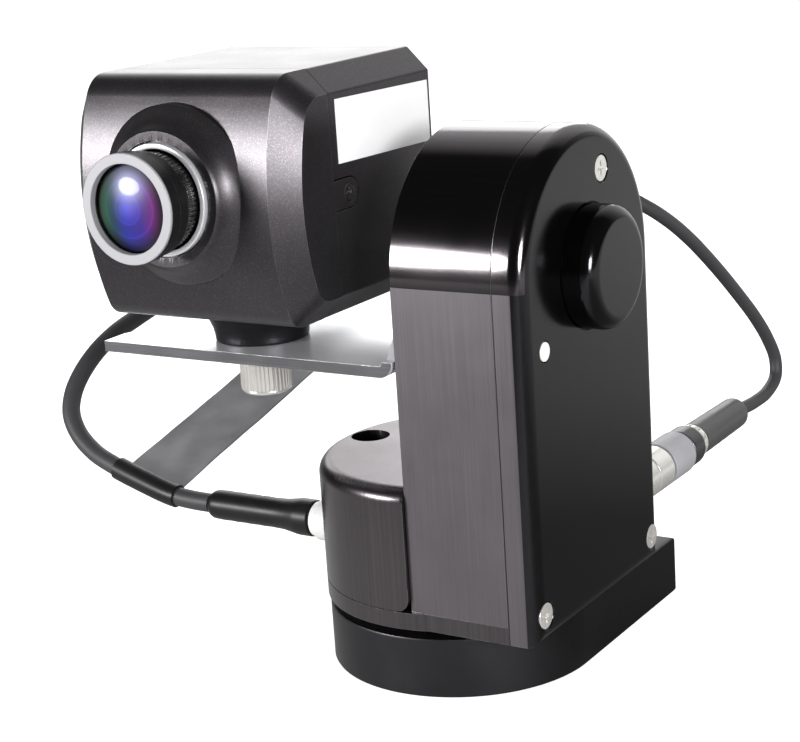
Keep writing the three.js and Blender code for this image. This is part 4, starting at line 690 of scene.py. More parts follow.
def make_surfaces():
    """All the materials: colour, roughness, metallic, grain's density and height, then their effects."""
    colours = bpy.context.scene.pan_tilt_finishes
    anodised, satin, coat = tuple(colours.anodised), tuple(colours.satin), tuple(colours.camera)
    metal, nickel = tuple(colours.aluminium), tuple(colours.nickel)
    EFFECTS.update(wear=make_edge_wear(), grain=make_grain(), brushing=make_brushing(),
                   handling=make_handling())
    surface("black_anodised", anodised, 0.17, 0.97, 7000, 1.6e-6, brush=(900, 9000, 900), brush_height=8e-7,
            wear=0.3, streak=0.08, dust=0.1)
    # The arm's own satin colour, also put as painted light on the side cover's front strip and the turret's
    # flat top
    surface("satin_anodised", satin, 0.40, 0.95, 9000, 3e-6, brush=(9000, 9000, 90), brush_height=3.5e-6,
            wear=0.45, streak=0.10, smudge=0.06)
    surface("base_anodised", dimmed(anodised, 1.05), 0.42, 0.97, 7000, 2e-6, wear=0.3, streak=0.08, dust=0.1)
    # The turret's sides and the pan plate's rim: the satin dimmed to 70% as painted shade; the turret's flat
    # top keeps the full satin colour
    surface("turret_anodised_painted_shade", dimmed(satin, 0.70), 0.29, 0.97, 9000, 1.5e-6, brush=(7000, 7000, 60),
            brush_height=1.5e-6, wear=0.5, streak=0.12, smudge=0.06)
    # The round tops of the arm and the cover: the satin dimmed to 70% as painted shade, with smoother lines
    # along X
    surface("turned_anodised_painted_shade", dimmed(satin, 0.70), 0.13, 1.0, 7000, 5e-7, brush=(30, 5200, 5200),
            brush_height=1.6e-6, wear=0.45, streak=0.08, smudge=0.04, dust=0.05)
    surface("camera_black", coat, 0.34, 0.88, 9000, 7e-6, fleck=(0.34, 0.32, 0.32), fleck_amount=0.20,
            wear=0.5, streak=0.06, smudge=0.05, dust=0.1)
    # The bracket's cut edges: the aluminium dimmed to 22% as painted shade, with strong near-aluminium lines
    # along the arrises as painted highlights
    surface("plate_edge_shade_and_highlight", dimmed(metal, 0.22), 0.32, 1.0, 6000, 4e-6, brush=(90, 7000, 7000),
            brush_height=4e-6, wear=0.9, wear_colour=(0.85, 0.87, 0.9))
    surface("bright_aluminium", metal, 0.24, 0.55, 6000, 1e-6, brush=(60, 9000, 9000), brush_height=1e-6,
            streak=0.05, smudge=0.06, dust=0.05)
    surface("matte_silver", (0.36, 0.355, 0.37), 0.62, 0.5, 6000, 6e-6, streak=0.04, dust=0.03)
    surface("nickel", nickel, 0.24, 0.7, 6000, 2e-6, streak=0.1, dust=0.05)
    surface("steel", (0.55, 0.55, 0.56), 0.28, 1.0, 5000, 2e-6, streak=0.1, dust=0.05)
    surface("black_steel", (0.02, 0.02, 0.02), 0.32, 0.4, 5000, 3e-6, wear=0.4)
    surface("brass", (0.60, 0.46, 0.20), 0.3, 1.0, 5000, 3e-6, streak=0.1)
    surface("cable_rubber", tuple(colours.rubber), 0.55, 0.0, 4000, 8e-6, streak=0.12, dust=0.25)
    surface("shrink_sleeve", tuple(colours.sleeve), 0.40, 0.0, 1600, 5e-6, streak=0.2, smudge=0.1,
            specular=0.3)
    surface("tag_film", (0.17, 0.17, 0.18), 0.46, 0.0, 1500, 1.5e-5, streak=0.25, smudge=0.15, dust=0.4)
    surface("boot_rubber", (0.055, 0.053, 0.055), 0.36, 0.0, 2600, 8e-6, smudge=0.1)
    surface("lens_black", (0.012, 0.012, 0.013), 0.3, 0.3, 6000, 2e-6, wear=0.35, specular=0.4)
    surface("white_lens", (0.80, 0.80, 0.78), 0.25, 0.0, 3000, 2e-6, streak=0.02, dust=0.02)
    surface("label", (0.80, 0.80, 0.81), 0.45, 0.0, 4000, 3e-6, streak=0.02, dust=0.03)
    surface("board", (0.03, 0.12, 0.06), 0.45, 0.0, 2000, 8e-6, brush=(1400, 300, 1400), brush_height=1e-5)
    surface("inner_plastic", (0.03, 0.03, 0.03), 0.5, 0.0, 2500, 1e-5)
    surface("grey_barrel", (0.40, 0.40, 0.42), 0.5, 0.3, 5000, 1.2e-5, streak=0.08)
    surface("clamp_grey", (0.10, 0.10, 0.105), 0.35, 0.8, 5000, 5e-6, wear=0.5)
    make_glass()


def make_glass():
    """A coated front element: near black, with violet, blue and green reflections, a bright middle and a dark
    rim painted into its colour.
    """
    material, tree, shader = new_material("coated_glass")
    sizes = bpy.context.scene.pan_tilt_camera
    edge = GLASS_RADIUS * MM
    shifted = vector_maths(tree, "SUBTRACT", object_place(tree), (sizes.middle, 0, sizes.lens_height))
    reach = vector_maths(tree, "LENGTH", vector_maths(tree, "MULTIPLY", shifted, (1, 0, 1)))
    split = added(tree, "ShaderNodeSeparateXYZ", {0: shifted})
    # Painted reflections across the glass, times a painted glow in the middle that darkens to the rim
    painted_reflections = coloured(tree, ranged(tree, split.outputs["X"], -edge, edge), GLASS_PAINTED_REFLECTIONS)
    painted_glow_and_shade = coloured(tree, ranged(tree, reach, 0.0, edge), GLASS_PAINTED_GLOW_AND_SHADE)
    fed(tree, shader, {"Base Color": mixed(tree, painted_reflections, painted_glow_and_shade, 1, "MULTIPLY"), "Roughness": 0.34,
                       "Specular IOR Level": 0.6, "Coat Weight": 0.22, "Coat Roughness": 0.03,
                       "Coat Tint": (0.65, 0.75, 1.0, 1)})
    SURFACES["coated_glass"] = material


# Repeated details, as geometry node trees

def repeat_tree(name, inputs):
    """A geometry node tree that places copies of a form, with more named inputs."""
    shared = [("Geometry", "Geometry"), ("Form", "Object"), ("Material", "Material")]
    return new_tree(name, "GeometryNodeTree", shared + inputs, [("Geometry", "Geometry")])


def with_copies(tree, given, out, points, inputs):
    """The tree with copies of its form on the points, made real and given their material."""
    form = added(tree, "GeometryNodeObjectInfo", {"Object": given.outputs["Form"]},
                 transform_space="ORIGINAL")
    copies = added(tree, "GeometryNodeInstanceOnPoints",
                   {"Points": points.outputs[0], "Instance": form.outputs["Geometry"], **inputs})
    realized = added(tree, "GeometryNodeRealizeInstances", {0: copies.outputs[0]})
    painted = added(tree, "GeometryNodeSetMaterial",
                    {"Geometry": realized.outputs[0], "Material": given.outputs["Material"]})
    fed(tree, out, {0: painted.outputs[0]})
    return tree


def grown(host, tree, values):
    """The host with the tree's result as its mesh; values by input name. The form is used up."""
    modifier = host.modifiers.new("repeat", "NODES")
    modifier.node_group = tree
    for item in tree.interface.items_tree:
        if item.in_out == "INPUT" and item.name in values:
            modifier[item.identifier] = values[item.name]
    evaluated(host)
    bpy.data.objects.remove(values["Form"])
    return host


def make_screw_tree():
    """A screw on every point, turned to face its direction and scaled to its size."""
    tree, given, out = repeat_tree("Screws on points", [])

    def attribute(name, kind):
        return added(tree, "GeometryNodeInputNamedAttribute", {"Name": name},
                     data_type=kind).outputs["Attribute"]

    facing = attribute("facing", "FLOAT_VECTOR")
    turn = added(tree, "FunctionNodeAlignRotationToVector", {"Vector": facing}, axis="Z").outputs[0]
    points = added(tree, "GeometryNodeMeshToPoints", {0: given.outputs["Geometry"]})
    return with_copies(tree, given, out, points, {"Rotation": turn, "Scale": attribute("size", "FLOAT")})


def make_circle_tree():
    """Copies of a form turned round an axis through a centre."""
    inputs = [("Count", "Int"), ("Axis", "Vector"), ("Centre", "Vector")]
    tree, given, out = repeat_tree("Copies round an axis", inputs)
    count = given.outputs["Count"]
    points = added(tree, "GeometryNodePoints", {"Count": count, "Position": given.outputs["Centre"]})
    index = tree.nodes.new("GeometryNodeInputIndex").outputs[0]
    angle = maths(tree, "MULTIPLY", maths(tree, "DIVIDE", index, count), 2 * math.pi)
    turn = added(tree, "FunctionNodeAxisAngleToRotation", {"Axis": given.outputs["Axis"], "Angle": angle})
    return with_copies(tree, given, out, points, {"Rotation": turn.outputs[0]})


def make_row_tree():
    """Copies of a form at an even pitch along a direction."""
    inputs = [("Count", "Int"), ("Start", "Vector"), ("Step", "Vector")]
    tree, given, out = repeat_tree("Copies in a row", inputs)
    line = added(tree, "GeometryNodeMeshLine", {
        "Count": given.outputs["Count"], "Start Location": given.outputs["Start"],
        "Offset": given.outputs["Step"]})
    return with_copies(tree, given, out, line, {})


def host_for(name):
    """An empty object for a tree to fill."""
    host = bpy.data.objects.new(name, bpy.data.meshes.new(name))
    bpy.context.scene.collection.objects.link(host)
    return host


def ringed(form, count, axis, centre, surface_name):
    """Copies of a form round an axis, as one shape."""
    return grown(host_for("ringed"), TREES["circle"], {
        "Form": form, "Count": count, "Axis": axis, "Centre": tuple(value * MM for value in centre),
        "Material": SURFACES[surface_name]})


def screw_form():
    """A countersunk screw with a cross recess, its head's top at the origin, one unit of head radius."""
    profile = [(0, -3.2), (0.30, -3.2), (0.53, -2.95), (0.53, -0.62), (0.96, -0.06), (0.96, 0.0), (0, 0.0)]
    form = turned(eased(profile, 0.05), steps=40)
    slots = []
    for angle in (0, math.pi / 2):
        wing = layered([[(-a, -b, z), (a, -b, z), (a, b, z), (-a, b, z)]
                        for z, a, b in ((-0.42, 0.2, 0.09), (0.3, 0.78, 0.15))])
        wing.data.transform(Matrix.Rotation(angle, 4, "Z"))
        slots.append(wing)
    return softened(combined(form, "DIFFERENCE", *slots), 0.02, 30, 1)


def screws(name, body, replaces, places, surface_name):
    """Screws at (place, facing, head radius), in millimetres, as one piece."""
    host = host_for(name)
    host.data.from_pydata([Vector(place) * MM for place, _, _ in places], [], [])
    facing = host.data.attributes.new("facing", "FLOAT_VECTOR", "POINT")
    facing.data.foreach_set("vector", [value for _, direction, _ in places for value in direction])
    size = host.data.attributes.new("size", "FLOAT", "POINT")
    size.data.foreach_set("value", [radius for _, _, radius in places])
    grown(host, TREES["screws"], {"Form": screw_form(), "Material": SURFACES[surface_name]})
    return finished(name, [(host, surface_name)], body, replaces, 30)


# Studio, cables and pieces

def view_axes(studio):
    """The camera's right, up and back directions."""
    back = Vector((math.sin(studio.azimuth) * math.cos(studio.elevation),
                   -math.cos(studio.azimuth) * math.cos(studio.elevation), math.sin(studio.elevation)))
    right = (-back).cross(Vector((0, 0, 1))).normalized()
    up = right.cross(-back)
    cos, sin = math.cos(studio.roll), math.sin(studio.roll)
    return right * cos + up * sin, up * cos - right * sin, back


class PANTILT_OT_studio(bpy.types.Operator):
    """Set the camera, the lamps, the floor and the white backdrop"""
    bl_idname = "pan_tilt.studio"
    bl_label = "Studio"

    def execute(self, context):
        studio = context.scene.pan_tilt_studio
        lens = bpy.data.cameras.new("view")
        lens.lens = studio.focal
        lens.sensor_width = 36
        lens.sensor_fit = "HORIZONTAL"
        lens.clip_start = 0.01
        camera = bpy.data.objects.new("view", lens)
        context.scene.collection.objects.link(camera)
        place = Matrix(view_axes(studio)).transposed().to_4x4()
        place.translation = Vector(studio.place)
        camera.matrix_world = place
        context.scene.camera = camera
        context.scene.view_settings.view_transform = "Standard"
        for name, (spot, size, power) in LAMPS.items():
            lamp = bpy.data.lights.new(name, "AREA")
            lamp.shape = "ELLIPSE"
            lamp.size, lamp.size_y = size
            lamp.energy = power
            piece = bpy.data.objects.new(name, lamp)
            piece.location = spot
            piece.rotation_euler = (LAMP_AIM - Vector(spot)).to_track_quat("-Z", "Y").to_euler()
            piece.visible_camera = False
            piece.visible_glossy = name != "side"
            context.scene.collection.objects.link(piece)
        make_surroundings(context.scene, studio)
        make_floor()
        return {"FINISHED"}


def seen_white(tree, mirrored):
    """One to the camera and through glass, the given value in reflections, and the kinds of ray."""
    paths = tree.nodes.new("ShaderNodeLightPath").outputs
    plain = maths(tree, "MAXIMUM", paths["Is Camera Ray"], paths["Is Transmission Ray"])
    return maths(tree, "MAXIMUM", plain, maths(tree, "MULTIPLY", paths["Is Glossy Ray"], mirrored)), paths


def make_surroundings(scene, studio):
    """White surroundings that metal shows as a dark room with a bright rear."""
    world = bpy.data.worlds.new("surroundings")
    scene.world = world
    world.use_nodes = True
    tree = world.node_tree
    sky = tree.nodes.new("ShaderNodeTexCoord").outputs["Generated"]
    rearward = vector_maths(tree, "DOT_PRODUCT", sky, (-0.20, 0.90, 0.36))
    seen, paths = seen_white(tree, ranged(tree, rearward, 0.62, 0.88, studio.dark, 1.0))
    even = maths(tree, "MULTIPLY", paths["Is Diffuse Ray"], studio.ambient)
    fed(tree, tree.nodes["Background"], {"Color": (1, 1, 1, 1),
                                         "Strength": maths(tree, "MAXIMUM", seen, even)})


def make_floor():
    """A pale floor that keeps the shadow; in reflections only, it glows with painted bands of light and a
    painted shadow of the head.
    """
    paint, tree, shader = new_material("floor")
    # In reflections the floor's glow follows the painted bands: a painted shadow close behind the head, a
    # painted pool of light close in front
    forward = vector_maths(tree, "DOT_PRODUCT", object_place(tree), (-0.66, -0.75, 0))
    bands = [(place, (level,) * 3) for place, level in FLOOR_PAINTED_LIGHT_AND_SHADOW]
    seen, paths = seen_white(tree, coloured(tree, ranged(tree, forward, -0.4, 0.4), bands))
    glow = added(tree, "ShaderNodeEmission", {"Strength": maths(tree, "MULTIPLY", seen, 0.70)})
    shade = mixed(tree, (0.82, 0.82, 0.82), (0.15, 0.15, 0.15), paths["Is Glossy Ray"])
    fed(tree, shader, {"Roughness": 0.9, "Specular IOR Level": 0.1, "Base Color": shade})
    both = added(tree, "ShaderNodeAddShader", {0: shader.outputs[0], 1: glow.outputs[0]})
    fed(tree, tree.nodes["Material Output"], {"Surface": both.outputs[0]})
    floor = box((-FLOOR_HALF, -FLOOR_HALF, -2.0), (FLOOR_HALF, FLOOR_HALF, -0.05))
    floor.name = "floor"
    floor.data.materials.append(paint)


class PANTILT_OT_cables(bpy.types.Operator):
    """Make the two cables with their plugs, boots and tag"""
    bl_idname = "pan_tilt.cables"
    bl_label = "Cables"

    def execute(self, context):
        sizes = context.scene.pan_tilt_cables
        for side, route, radius, ends in (
            ("left", LEFT_ROUTE, sizes.left_radius, make_left_ends(sizes)),
            ("right", RIGHT_ROUTE, sizes.right_radius, make_right_ends(sizes)),
        ):
            points = spline(route)
            jacket = [(along(points, [radius / MM] * len(points)), "cable_rubber")]
            piece = finished(side + "_cord", jacket, "pan_head", [side + "_cable"])
            world = piece.matrix_world.copy()
            piece.parent = None
            piece.matrix_world = world
            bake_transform(piece)
        return {"FINISHED"}


def make_left_ends(sizes):
    """Plug, boot and tag on the turret's side, and the plug on the camera."""
    plug = eased([(0, 27.4), (4, 27.4), (4, 30.9), (3.4, 30.9), (3.4, 32.2), (0, 32.2)], 0.25)
    plug = finished("left_plug_barrel", [(turned(plug, TURRET_PORT, "-X"), "white_lens")], "pan_head",
                    ["left_plug"])
    boot = [(0, 32.2), (3.6, 32.2), (3.6, 35.8), (3.35, 37.2), (3.0, 39.4)]
    boot += [(2.95 - 0.06 * (step % 2), 41 + step * 1.6) for step in range(10)]
    boot = eased(boot + [(2.85, 56.3), (2.2, 57.4), (0, 57.4)], 0.7, 4)
    boot = finished("left_boot_sleeve", [(turned(boot, TURRET_PORT, "-X", 64), "shrink_sleeve")], "pan_head",
                    ["left_boot"], 50)
    return [plug, boot, make_tag(sizes), make_camera_plug("left", 2.6)]


def make_tag(sizes):
    """A black sleeve on the left cable with a long flat flag."""
    points = spline(LEFT_ROUTE)
    whole, walked, station = length_of(points), 0.0, []
    for a, b in zip(points, points[1:]):
        if 0.055 * whole <= walked <= 0.16 * whole:
            station.append(a)
        walked += (b - a).length
    middle = station[len(station) // 2]
    sleeve = along(station, [2.35] * len(station), 32, 1.98)
    half, reach = sizes.tag_width / MM / 2, sizes.tag_length / MM
    rows, columns = 60, 14
    slope, rise, gap, thickness = 0.25, 0.24, 2.1, 0.4
    points, faces = [], []
    for lift in (0.0, thickness):
        for row in range(rows + 1):
            back = reach * row / rows
            for column in range(columns + 1):
                across = half * (2 * column / columns - 1)
                fold = 0.30 * math.sin(0.9 * across + 0.16 * back) * math.exp(-back / 14)
                fold += (0.05 * math.sin(0.23 * back + 0.5 * across)
                         + 0.03 * math.sin(0.55 * back - 0.8 * across))
                height = middle.z - across * slope + back * rise + lift + fold
                points.append((middle.x + across, middle.y + gap + back, height))
    stride, layer = columns + 1, (rows + 1) * (columns + 1)
    for row in range(rows):
        for column in range(columns):
            start = row * stride + column
            low = [start, start + 1, start + stride + 1, start + stride]
            faces += [low[::-1], [corner + layer for corner in low]]
    border = list(range(columns)) + [columns + row * stride for row in range(rows)]
    border += [layer - 1 - column for column in range(columns)]
    border += [(rows - row) * stride for row in range(rows)]
    for a, b in zip(border, border[1:] + border[:1]):
        faces.append([a, b, b + layer, a + layer])
    flag = solid("flag", points, faces)
    return finished("cable_tag_flag", [(sleeve, "shrink_sleeve"), (flag, "tag_film")], "pan_head",
                    ["cable_tag"])


def make_camera_plug(side, tail):
    """A straight moulded plug on the camera's rear, its tail of that radius."""
    profile = [(0, 16.4), (4.3, 16.4), (4.3, 19), (4.0, 19.3), (4.0, 20.2), (4.3, 20.5), (4.3, 28.9)]
    profile += [(tail + 0.6, 29.7)]
    profile += [(tail + 0.25 - 0.25 * (step % 2), 30.4 + step * 0.8) for step in range(6)]
    shape = turned(eased(profile + [(tail, 35.4), (0, 35.4)], 0.3), (JACKS[side], 0, JACK_HEIGHT), "Y", 64)
    return finished(side + "_plug_cover", [(shape, "shrink_sleeve")], "tilt_platform",
                    [side + "_camera_plug"])


def make_right_ends(sizes):
    """The long round connector behind the arm, its boot, and the plug on the camera."""
    sleeve = [(0, 26.4), (4.5, 26.4), (4.5, 38.2), (4.3, 38.4), (4.3, 39.4), (4.5, 39.6), (4.5, 45.6),
              (0, 45.6)]
    barrel = [(0, 46.4), (4.5, 46.4), (4.5, 55.8), (0, 55.8)]
    clamp = [(0, 56.6), (4.15, 56.6), (4.2, 57.3), (4.2, 61.2), (3.7, 62), (0, 62)]
    crimp = turned(eased([(0, 62), (3.65, 62), (3.65, 64), (0, 64)], 0.2), ARM_PORT, "Y")
    dent = turned([(0, 0), (0.42, 0), (0.42, 1.1), (0, 1.1)], (3.7, 62.45, 0), "Y", 16)
    crimp = combined(crimp, "DIFFERENCE", ringed(dent, sizes.crimps, (0, 1, 0), ARM_PORT, "nickel"))
    finished("right_plug_connector", [
        (turned(eased(sleeve, 0.25), ARM_PORT, "Y"), "nickel"),
        (rod(3.4, 45.6, 46.4, ARM_PORT, "Y", 96), "black_steel"),
        (rod(3.4, 55.8, 56.6, ARM_PORT, "Y", 96), "black_steel"),
        (turned(eased(barrel, 0.2), ARM_PORT, "Y"), "grey_barrel"),
        (turned(eased(clamp, 0.15), ARM_PORT, "Y", 64), "clamp_grey"), (crimp, "nickel"),
    ], "pan_head", ["right_plug"], 30)
    boot = [(0, 64), (3.6, 64)]
    boot += [(3.56 - 0.03 * (step % 2) - 0.02 * step, 65 + step * 1.9) for step in range(11)]
    boot = turned(eased(boot + [(3.3, 86.2), (1.9, 86.7), (0, 86.7)], 0.5, 4), ARM_PORT, "Y", 64)
    boot = finished("right_boot_sleeve", [(boot, "boot_rubber")], "pan_head", ["right_boot"],
                    50)
    return [boot, make_camera_plug("right", 2.0)]


def base_loop(radius, rear, inset, z):
    """The base's outline at a height: a half round front and a square rear."""
    r = radius - inset
    front = [(x, y, z) for x, y in arc((0, 0), r, math.pi, 2 * math.pi, 64)]
    return [(-r, rear - inset, z)] + front + [(r, rear - inset, z)]


class PANTILT_OT_base(bpy.types.Operator):
    """Make the base housing, its bottom plate, the screws under it and the threaded bush"""
    bl_idname = "pan_tilt.base"
    bl_label = "Base"

    def execute(self, context):
        radius, rear, height = in_mm(context.scene.pan_tilt_head, "base_radius", "base_rear", "base_height")
        levels = [(0, 0.5), (0.15, 0.2), (0.5, 0), (height - 0.5, 0), (height - 0.15, 0.15), (height, 0.5)]
        housing = layered([base_loop(radius, rear, inset, z) for z, inset in levels])
        pocket = layered([base_loop(radius, rear, 2.6, z) for z in (-OVER, height - 2.8)])
        well = rod(9.6, height - 5, height + OVER)
        sockets = [rod(2.8, 30, 45, (x, 0, BASE_PORT_HEIGHT), "Y", 48) for x in BASE_PORTS]
        housing = combined(housing, "DIFFERENCE", pocket, well, *sockets)
        finished("base_shell", [(housing, "base_anodised")], "base", ["base_housing"])
        plate = layered([base_loop(radius, rear, inset, z)
                         for z, inset in ((0.05, 3.0), (0.2, 2.8), (2, 2.8))])
        holes = [rod(2.45, -1, 3, (x, y, 0)) for x, y in BASE_SCREWS]
        plate = combined(plate, "DIFFERENCE", rod(5.4, -1, 3, BUSH), *holes)
        finished("base_plate", [(plate, "black_anodised")], "base", ["base_bottom_plate"])
        screws("base_screws", "base", ["base_screw_1", "base_screw_2", "base_screw_3"],
               [((x, y, SCREW_SUNK), (0, 0, -1), SCREW_HEAD) for x, y in BASE_SCREWS], "nickel")
        thread = [(3.32 - 0.14 * (step % 2), 0.35 + 0.32 * step) for step in range(17)]
        bush = [(5.2, 0.02), (5.2, 2), (7.4, 2), (7.4, 3.4), (5.2, 3.4), (5.2, 6), (3.5, 6)]
        bush = turned(bush + thread[::-1] + [(3.5, 0.02)], BUSH, "Z", 64)
        finished("threaded_bush", [(bush, "brass")], "base", ["tripod_bush"], 30)
        return {"FINISHED"}


def arm_loop(half, centre_z, bottom, inset, x, steps=72):
    """The arm's outline at a depth: square foot and round top."""
    r = half - inset
    top = [(x, y, z) for y, z in arc((0, centre_z), r, 0, math.pi, steps)]
    return [(x, -r, bottom + inset), (x, r, bottom + inset)] + top


class PANTILT_OT_arm(bpy.types.Operator):
    """Make the arm, its side cover, the tilt cap, the cover screws and the indicator"""
    bl_idname = "pan_tilt.arm"
    bl_label = "Arm"

    def execute(self, context):
        sizes = context.scene.pan_tilt_head
        half, axis, foot, cap_radius = in_mm(sizes, "arm_half", "tilt_height", "plate_top", "cap_radius")
        inner, seam, outer = in_mm(sizes, "arm_inner", "arm_seam", "arm_outer")
        edge = 0.15
        levels = [(inner, edge), (inner + 0.05, 0.05), (inner + edge, 0), (seam - 0.14, 0),
                  (seam - 0.04, 0.05), (seam, 0.14)]
        arm = layered([arm_loop(half, axis, foot, inset, x) for x, inset in levels])
        hollow = layered([arm_loop(half - WALL, axis, foot + WALL, 0, x, 40)
                          for x in (inner + WALL, seam + OVER)])
        well = rod(13.9, foot - OVER, 34.6)
        shaft = rod(4.3, inner - 1, inner + 4, (0, 0, axis), "X")
        socket = rod(3.1, half - 4, half + OVER, ARM_PORT, "Y", 48)
        arm = combined(arm, "DIFFERENCE", hollow, well, shaft, socket)
        # The round tops above the tilt axis take the darker copy of the satin: painted shade
        top = [("turned_anodised_painted_shade", lambda centre, normal: centre.z > axis and abs(normal.x) < 0.9)]
        finished("arm_shell", [(arm, "satin_anodised")], "pan_head", ["arm_frame"],
                 others=top)
        # The cover's flat front faces below the axis take the arm's lighter satin instead of the cover's
        # black: painted light
        front = [("satin_anodised", lambda centre, normal: centre.z < axis and abs(normal.y) > 0.995)]
        finished("side_cover_shell", [(side_cover(sizes), "black_anodised")], "pan_head", ["side_cover"],
                 others=top + front)
        seat, rounding = 31.9, 2.7
        cap = [(4.2, outer - 0.7), (cap_radius, outer - 0.7), (cap_radius, seat)]
        cap += arc((cap_radius - rounding, seat), rounding, 0, math.pi / 2, 10)[1:]
        cap = eased(cap + [(0, seat + rounding)], 0.1) + [(0, 32.6), (4.2, 32.6)]
        cap = turned(cap, (0, 0, axis), "X", 128)
        finished("tilt_cap_cover", [(cap, "black_anodised")], "tilt_platform", ["tilt_cap"])
        screws("cover_screws", "pan_head", ["cover_screw_1", "cover_screw_2", "cover_screw_3"],
               [((outer - SCREW_SUNK, y, z), (1, 0, 0), SCREW_HEAD) for y, z in COVER_SCREWS],
               "nickel")
        lamp = eased([(0, 26), (1.65, 26), (1.65, outer + 0.05), (1.2, outer + 0.16), (0, outer + 0.2)], 0.15)
        finished("indicator_cover", [(turned(lamp, INDICATOR, "X", 48), "white_lens")], "pan_head",
                 ["indicator_lens"])
        return {"FINISHED"}


def side_cover(sizes):
    """The arm's cover, with a rounded outer edge and a turned recess for the cap."""
    half, axis, under = in_mm(sizes, "arm_half", "tilt_height", "plate_under")
    seam, outer, fillet = in_mm(sizes, "arm_seam", "arm_outer", "cover_fillet")
    levels = [(seam, 0.14), (seam + 0.04, 0.05)] + rim(seam + 0.14, outer, fillet, 10)
    cover = layered([arm_loop(half, axis, under, inset, x) for x, inset in levels])
    hollow = layered([arm_loop(half - WALL, axis, 18.3, 0, x, 40) for x in (seam - OVER, outer - 2.6)])
    recess = [(0, outer - 1), (10.95, outer - 1), (10.95, outer - 0.1), (11.12, outer + 0.1),
              (11.12, outer + OVER), (0, outer + OVER)]
    recess = turned(recess, (0, 0, axis), "X", 128)
    holes = [rod(4.3, seam - OVER, outer + OVER, (0, 0, axis), "X"),
             rod(1.9, seam - OVER, outer + OVER, INDICATOR, "X", 48)]
    sink = [(0, seam - OVER), (1.4, seam - OVER), (1.4, outer - 1.5), (2.5, outer - 0.2), (2.5, outer - 0.1),
            (2.65, outer + 0.1), (2.65, outer + 1), (0, outer + 1)]
    sinks = [turned(sink, (0, y, z), "X", 48) for y, z in COVER_SCREWS]
    return combined(cover, "DIFFERENCE", hollow, recess, *holes, *sinks)


class PANTILT_OT_turret(bpy.types.Operator):
    """Make the pan plate and the round turret cover"""
    bl_idname = "pan_tilt.turret"
    bl_label = "Turret"

    def execute(self, context):
        sizes = context.scene.pan_tilt_head
        radius, top, fillet = in_mm(sizes, "turret_radius", "turret_top", "turret_fillet")
        inner, seam, half = in_mm(sizes, "arm_inner", "arm_seam", "arm_half")
        under, over = in_mm(sizes, "plate_under", "plate_top")
        can = [(0, over), (radius - 0.25, over), (radius - 0.07, over + 0.07), (radius, over + 0.25)]
        can += arc((radius - fillet, top - fillet), fillet, 0, math.pi / 2, 10) + [(0, top)]
        corner = 2.6
        side = [(-radius - OVER, over - 1), (inner - corner, over - 1), (inner - corner, over)]
        side += arc((inner - corner, over + corner), corner, -math.pi / 2, 0, 16)[1:]
        side += [(inner, top + OVER), (-radius - OVER, top + OVER)]
        keep = layered([[(x, y, z) for x, z in side] for y in (-radius - OVER, radius + OVER)])
        can = combined(turned(can, steps=160), "INTERSECT", keep)
        cuts = [rod(22.8, over - OVER, top - 2.2, steps=96), rod(3.64, 20, top + OVER, (-19.2, 1, 0)),
                rod(3.8, 20, 30, TURRET_PORT, "-X", 48)]
        can = softened(combined(can, "DIFFERENCE", *cuts), 0.12, 50)
        # The turret's sides take the darker copy of the satin as painted shade, and its flat top the lighter
        # satin as painted light
        finished("turret_shell", [(can, "turret_anodised_painted_shade")], "pan_head", ["turret_cover"],
                 others=[("satin_anodised", lambda centre, normal: normal.z > 0.97)])
        sweep = math.asin(half / radius)
        outline = [(seam, -half), (seam, half)] + arc((0, 0), radius, sweep, 2 * math.pi - sweep, 120)
        plate = layered([[(x, y, z) for x, y in outline] for z in (under, over)])
        sink = [(0, under - 1), (2.5, under - 1), (2.5, under + 0.2), (1.4, under + 1.5), (1.4, over + 1),
                (0, over + 1)]
        wells = [rod(12.6, under - OVER, over + OVER, steps=96)]
        wells += [turned(sink, (x, y, 0), "Z", 48) for x, y in TURRET_SCREWS]
        wells += [rod(5.3, over, 22, PAN_MOTOR, steps=48), rod(11.9, over, 22)]
        pedestal = rod(6.24, over - 1, 20.5, PAN_MOTOR)
        plate = softened(combined(combined(plate, "UNION", pedestal), "DIFFERENCE", *wells), 0.2, 50)
        # The pan plate's rim takes the darker copy of the satin: painted shade
        finished("pan_plate_rim", [(plate, "turret_anodised_painted_shade")], "pan_head", ["pan_plate"])
        screws("turret_screws", "pan_head", ["turret_screw_1", "turret_screw_2"],
               [((x, y, under + SCREW_SUNK), (0, 0, -1), SCREW_HEAD) for x, y in TURRET_SCREWS],
               "nickel")
        return {"FINISHED"}


class PANTILT_OT_platform(bpy.types.Operator):
    """Make the bent platform, the knurled camera screw and the camera's foot"""
    bl_idname = "pan_tilt.platform"
    bl_label = "Platform"

    def execute(self, context):
        sizes = context.scene.pan_tilt_camera
        x, top, thick = in_mm(sizes, "middle", "platform_top", "platform_thickness")
        make_bracket(x, top, thick, context.scene.pan_tilt_head.tilt_height / MM)
        make_knob(sizes, (x, CAMERA_SCREW_Y, top - thick))
        neck = [(3.2, 0.0), (8.5, 0.0), (8.6, 0.4), (8.7, 1.4), (9.0, 2.6), (9.5, 3.8), (10.2, 5.1),
                (11.1, 6.5), (0, 6.5)]
        neck = turned(eased(neck, 0.3) + [(0, 6.0), (3.2, 6.0)], (x, CAMERA_SCREW_Y, top), "Z", 128)
        # The neck takes the near-black base finish instead of the camera coat that it belongs to: painted
        # shade under the camera body
        finished("neck_flare", [(neck, "base_anodised")], "tilt_platform", ["camera_neck"],
                 60)
        return {"FINISHED"}


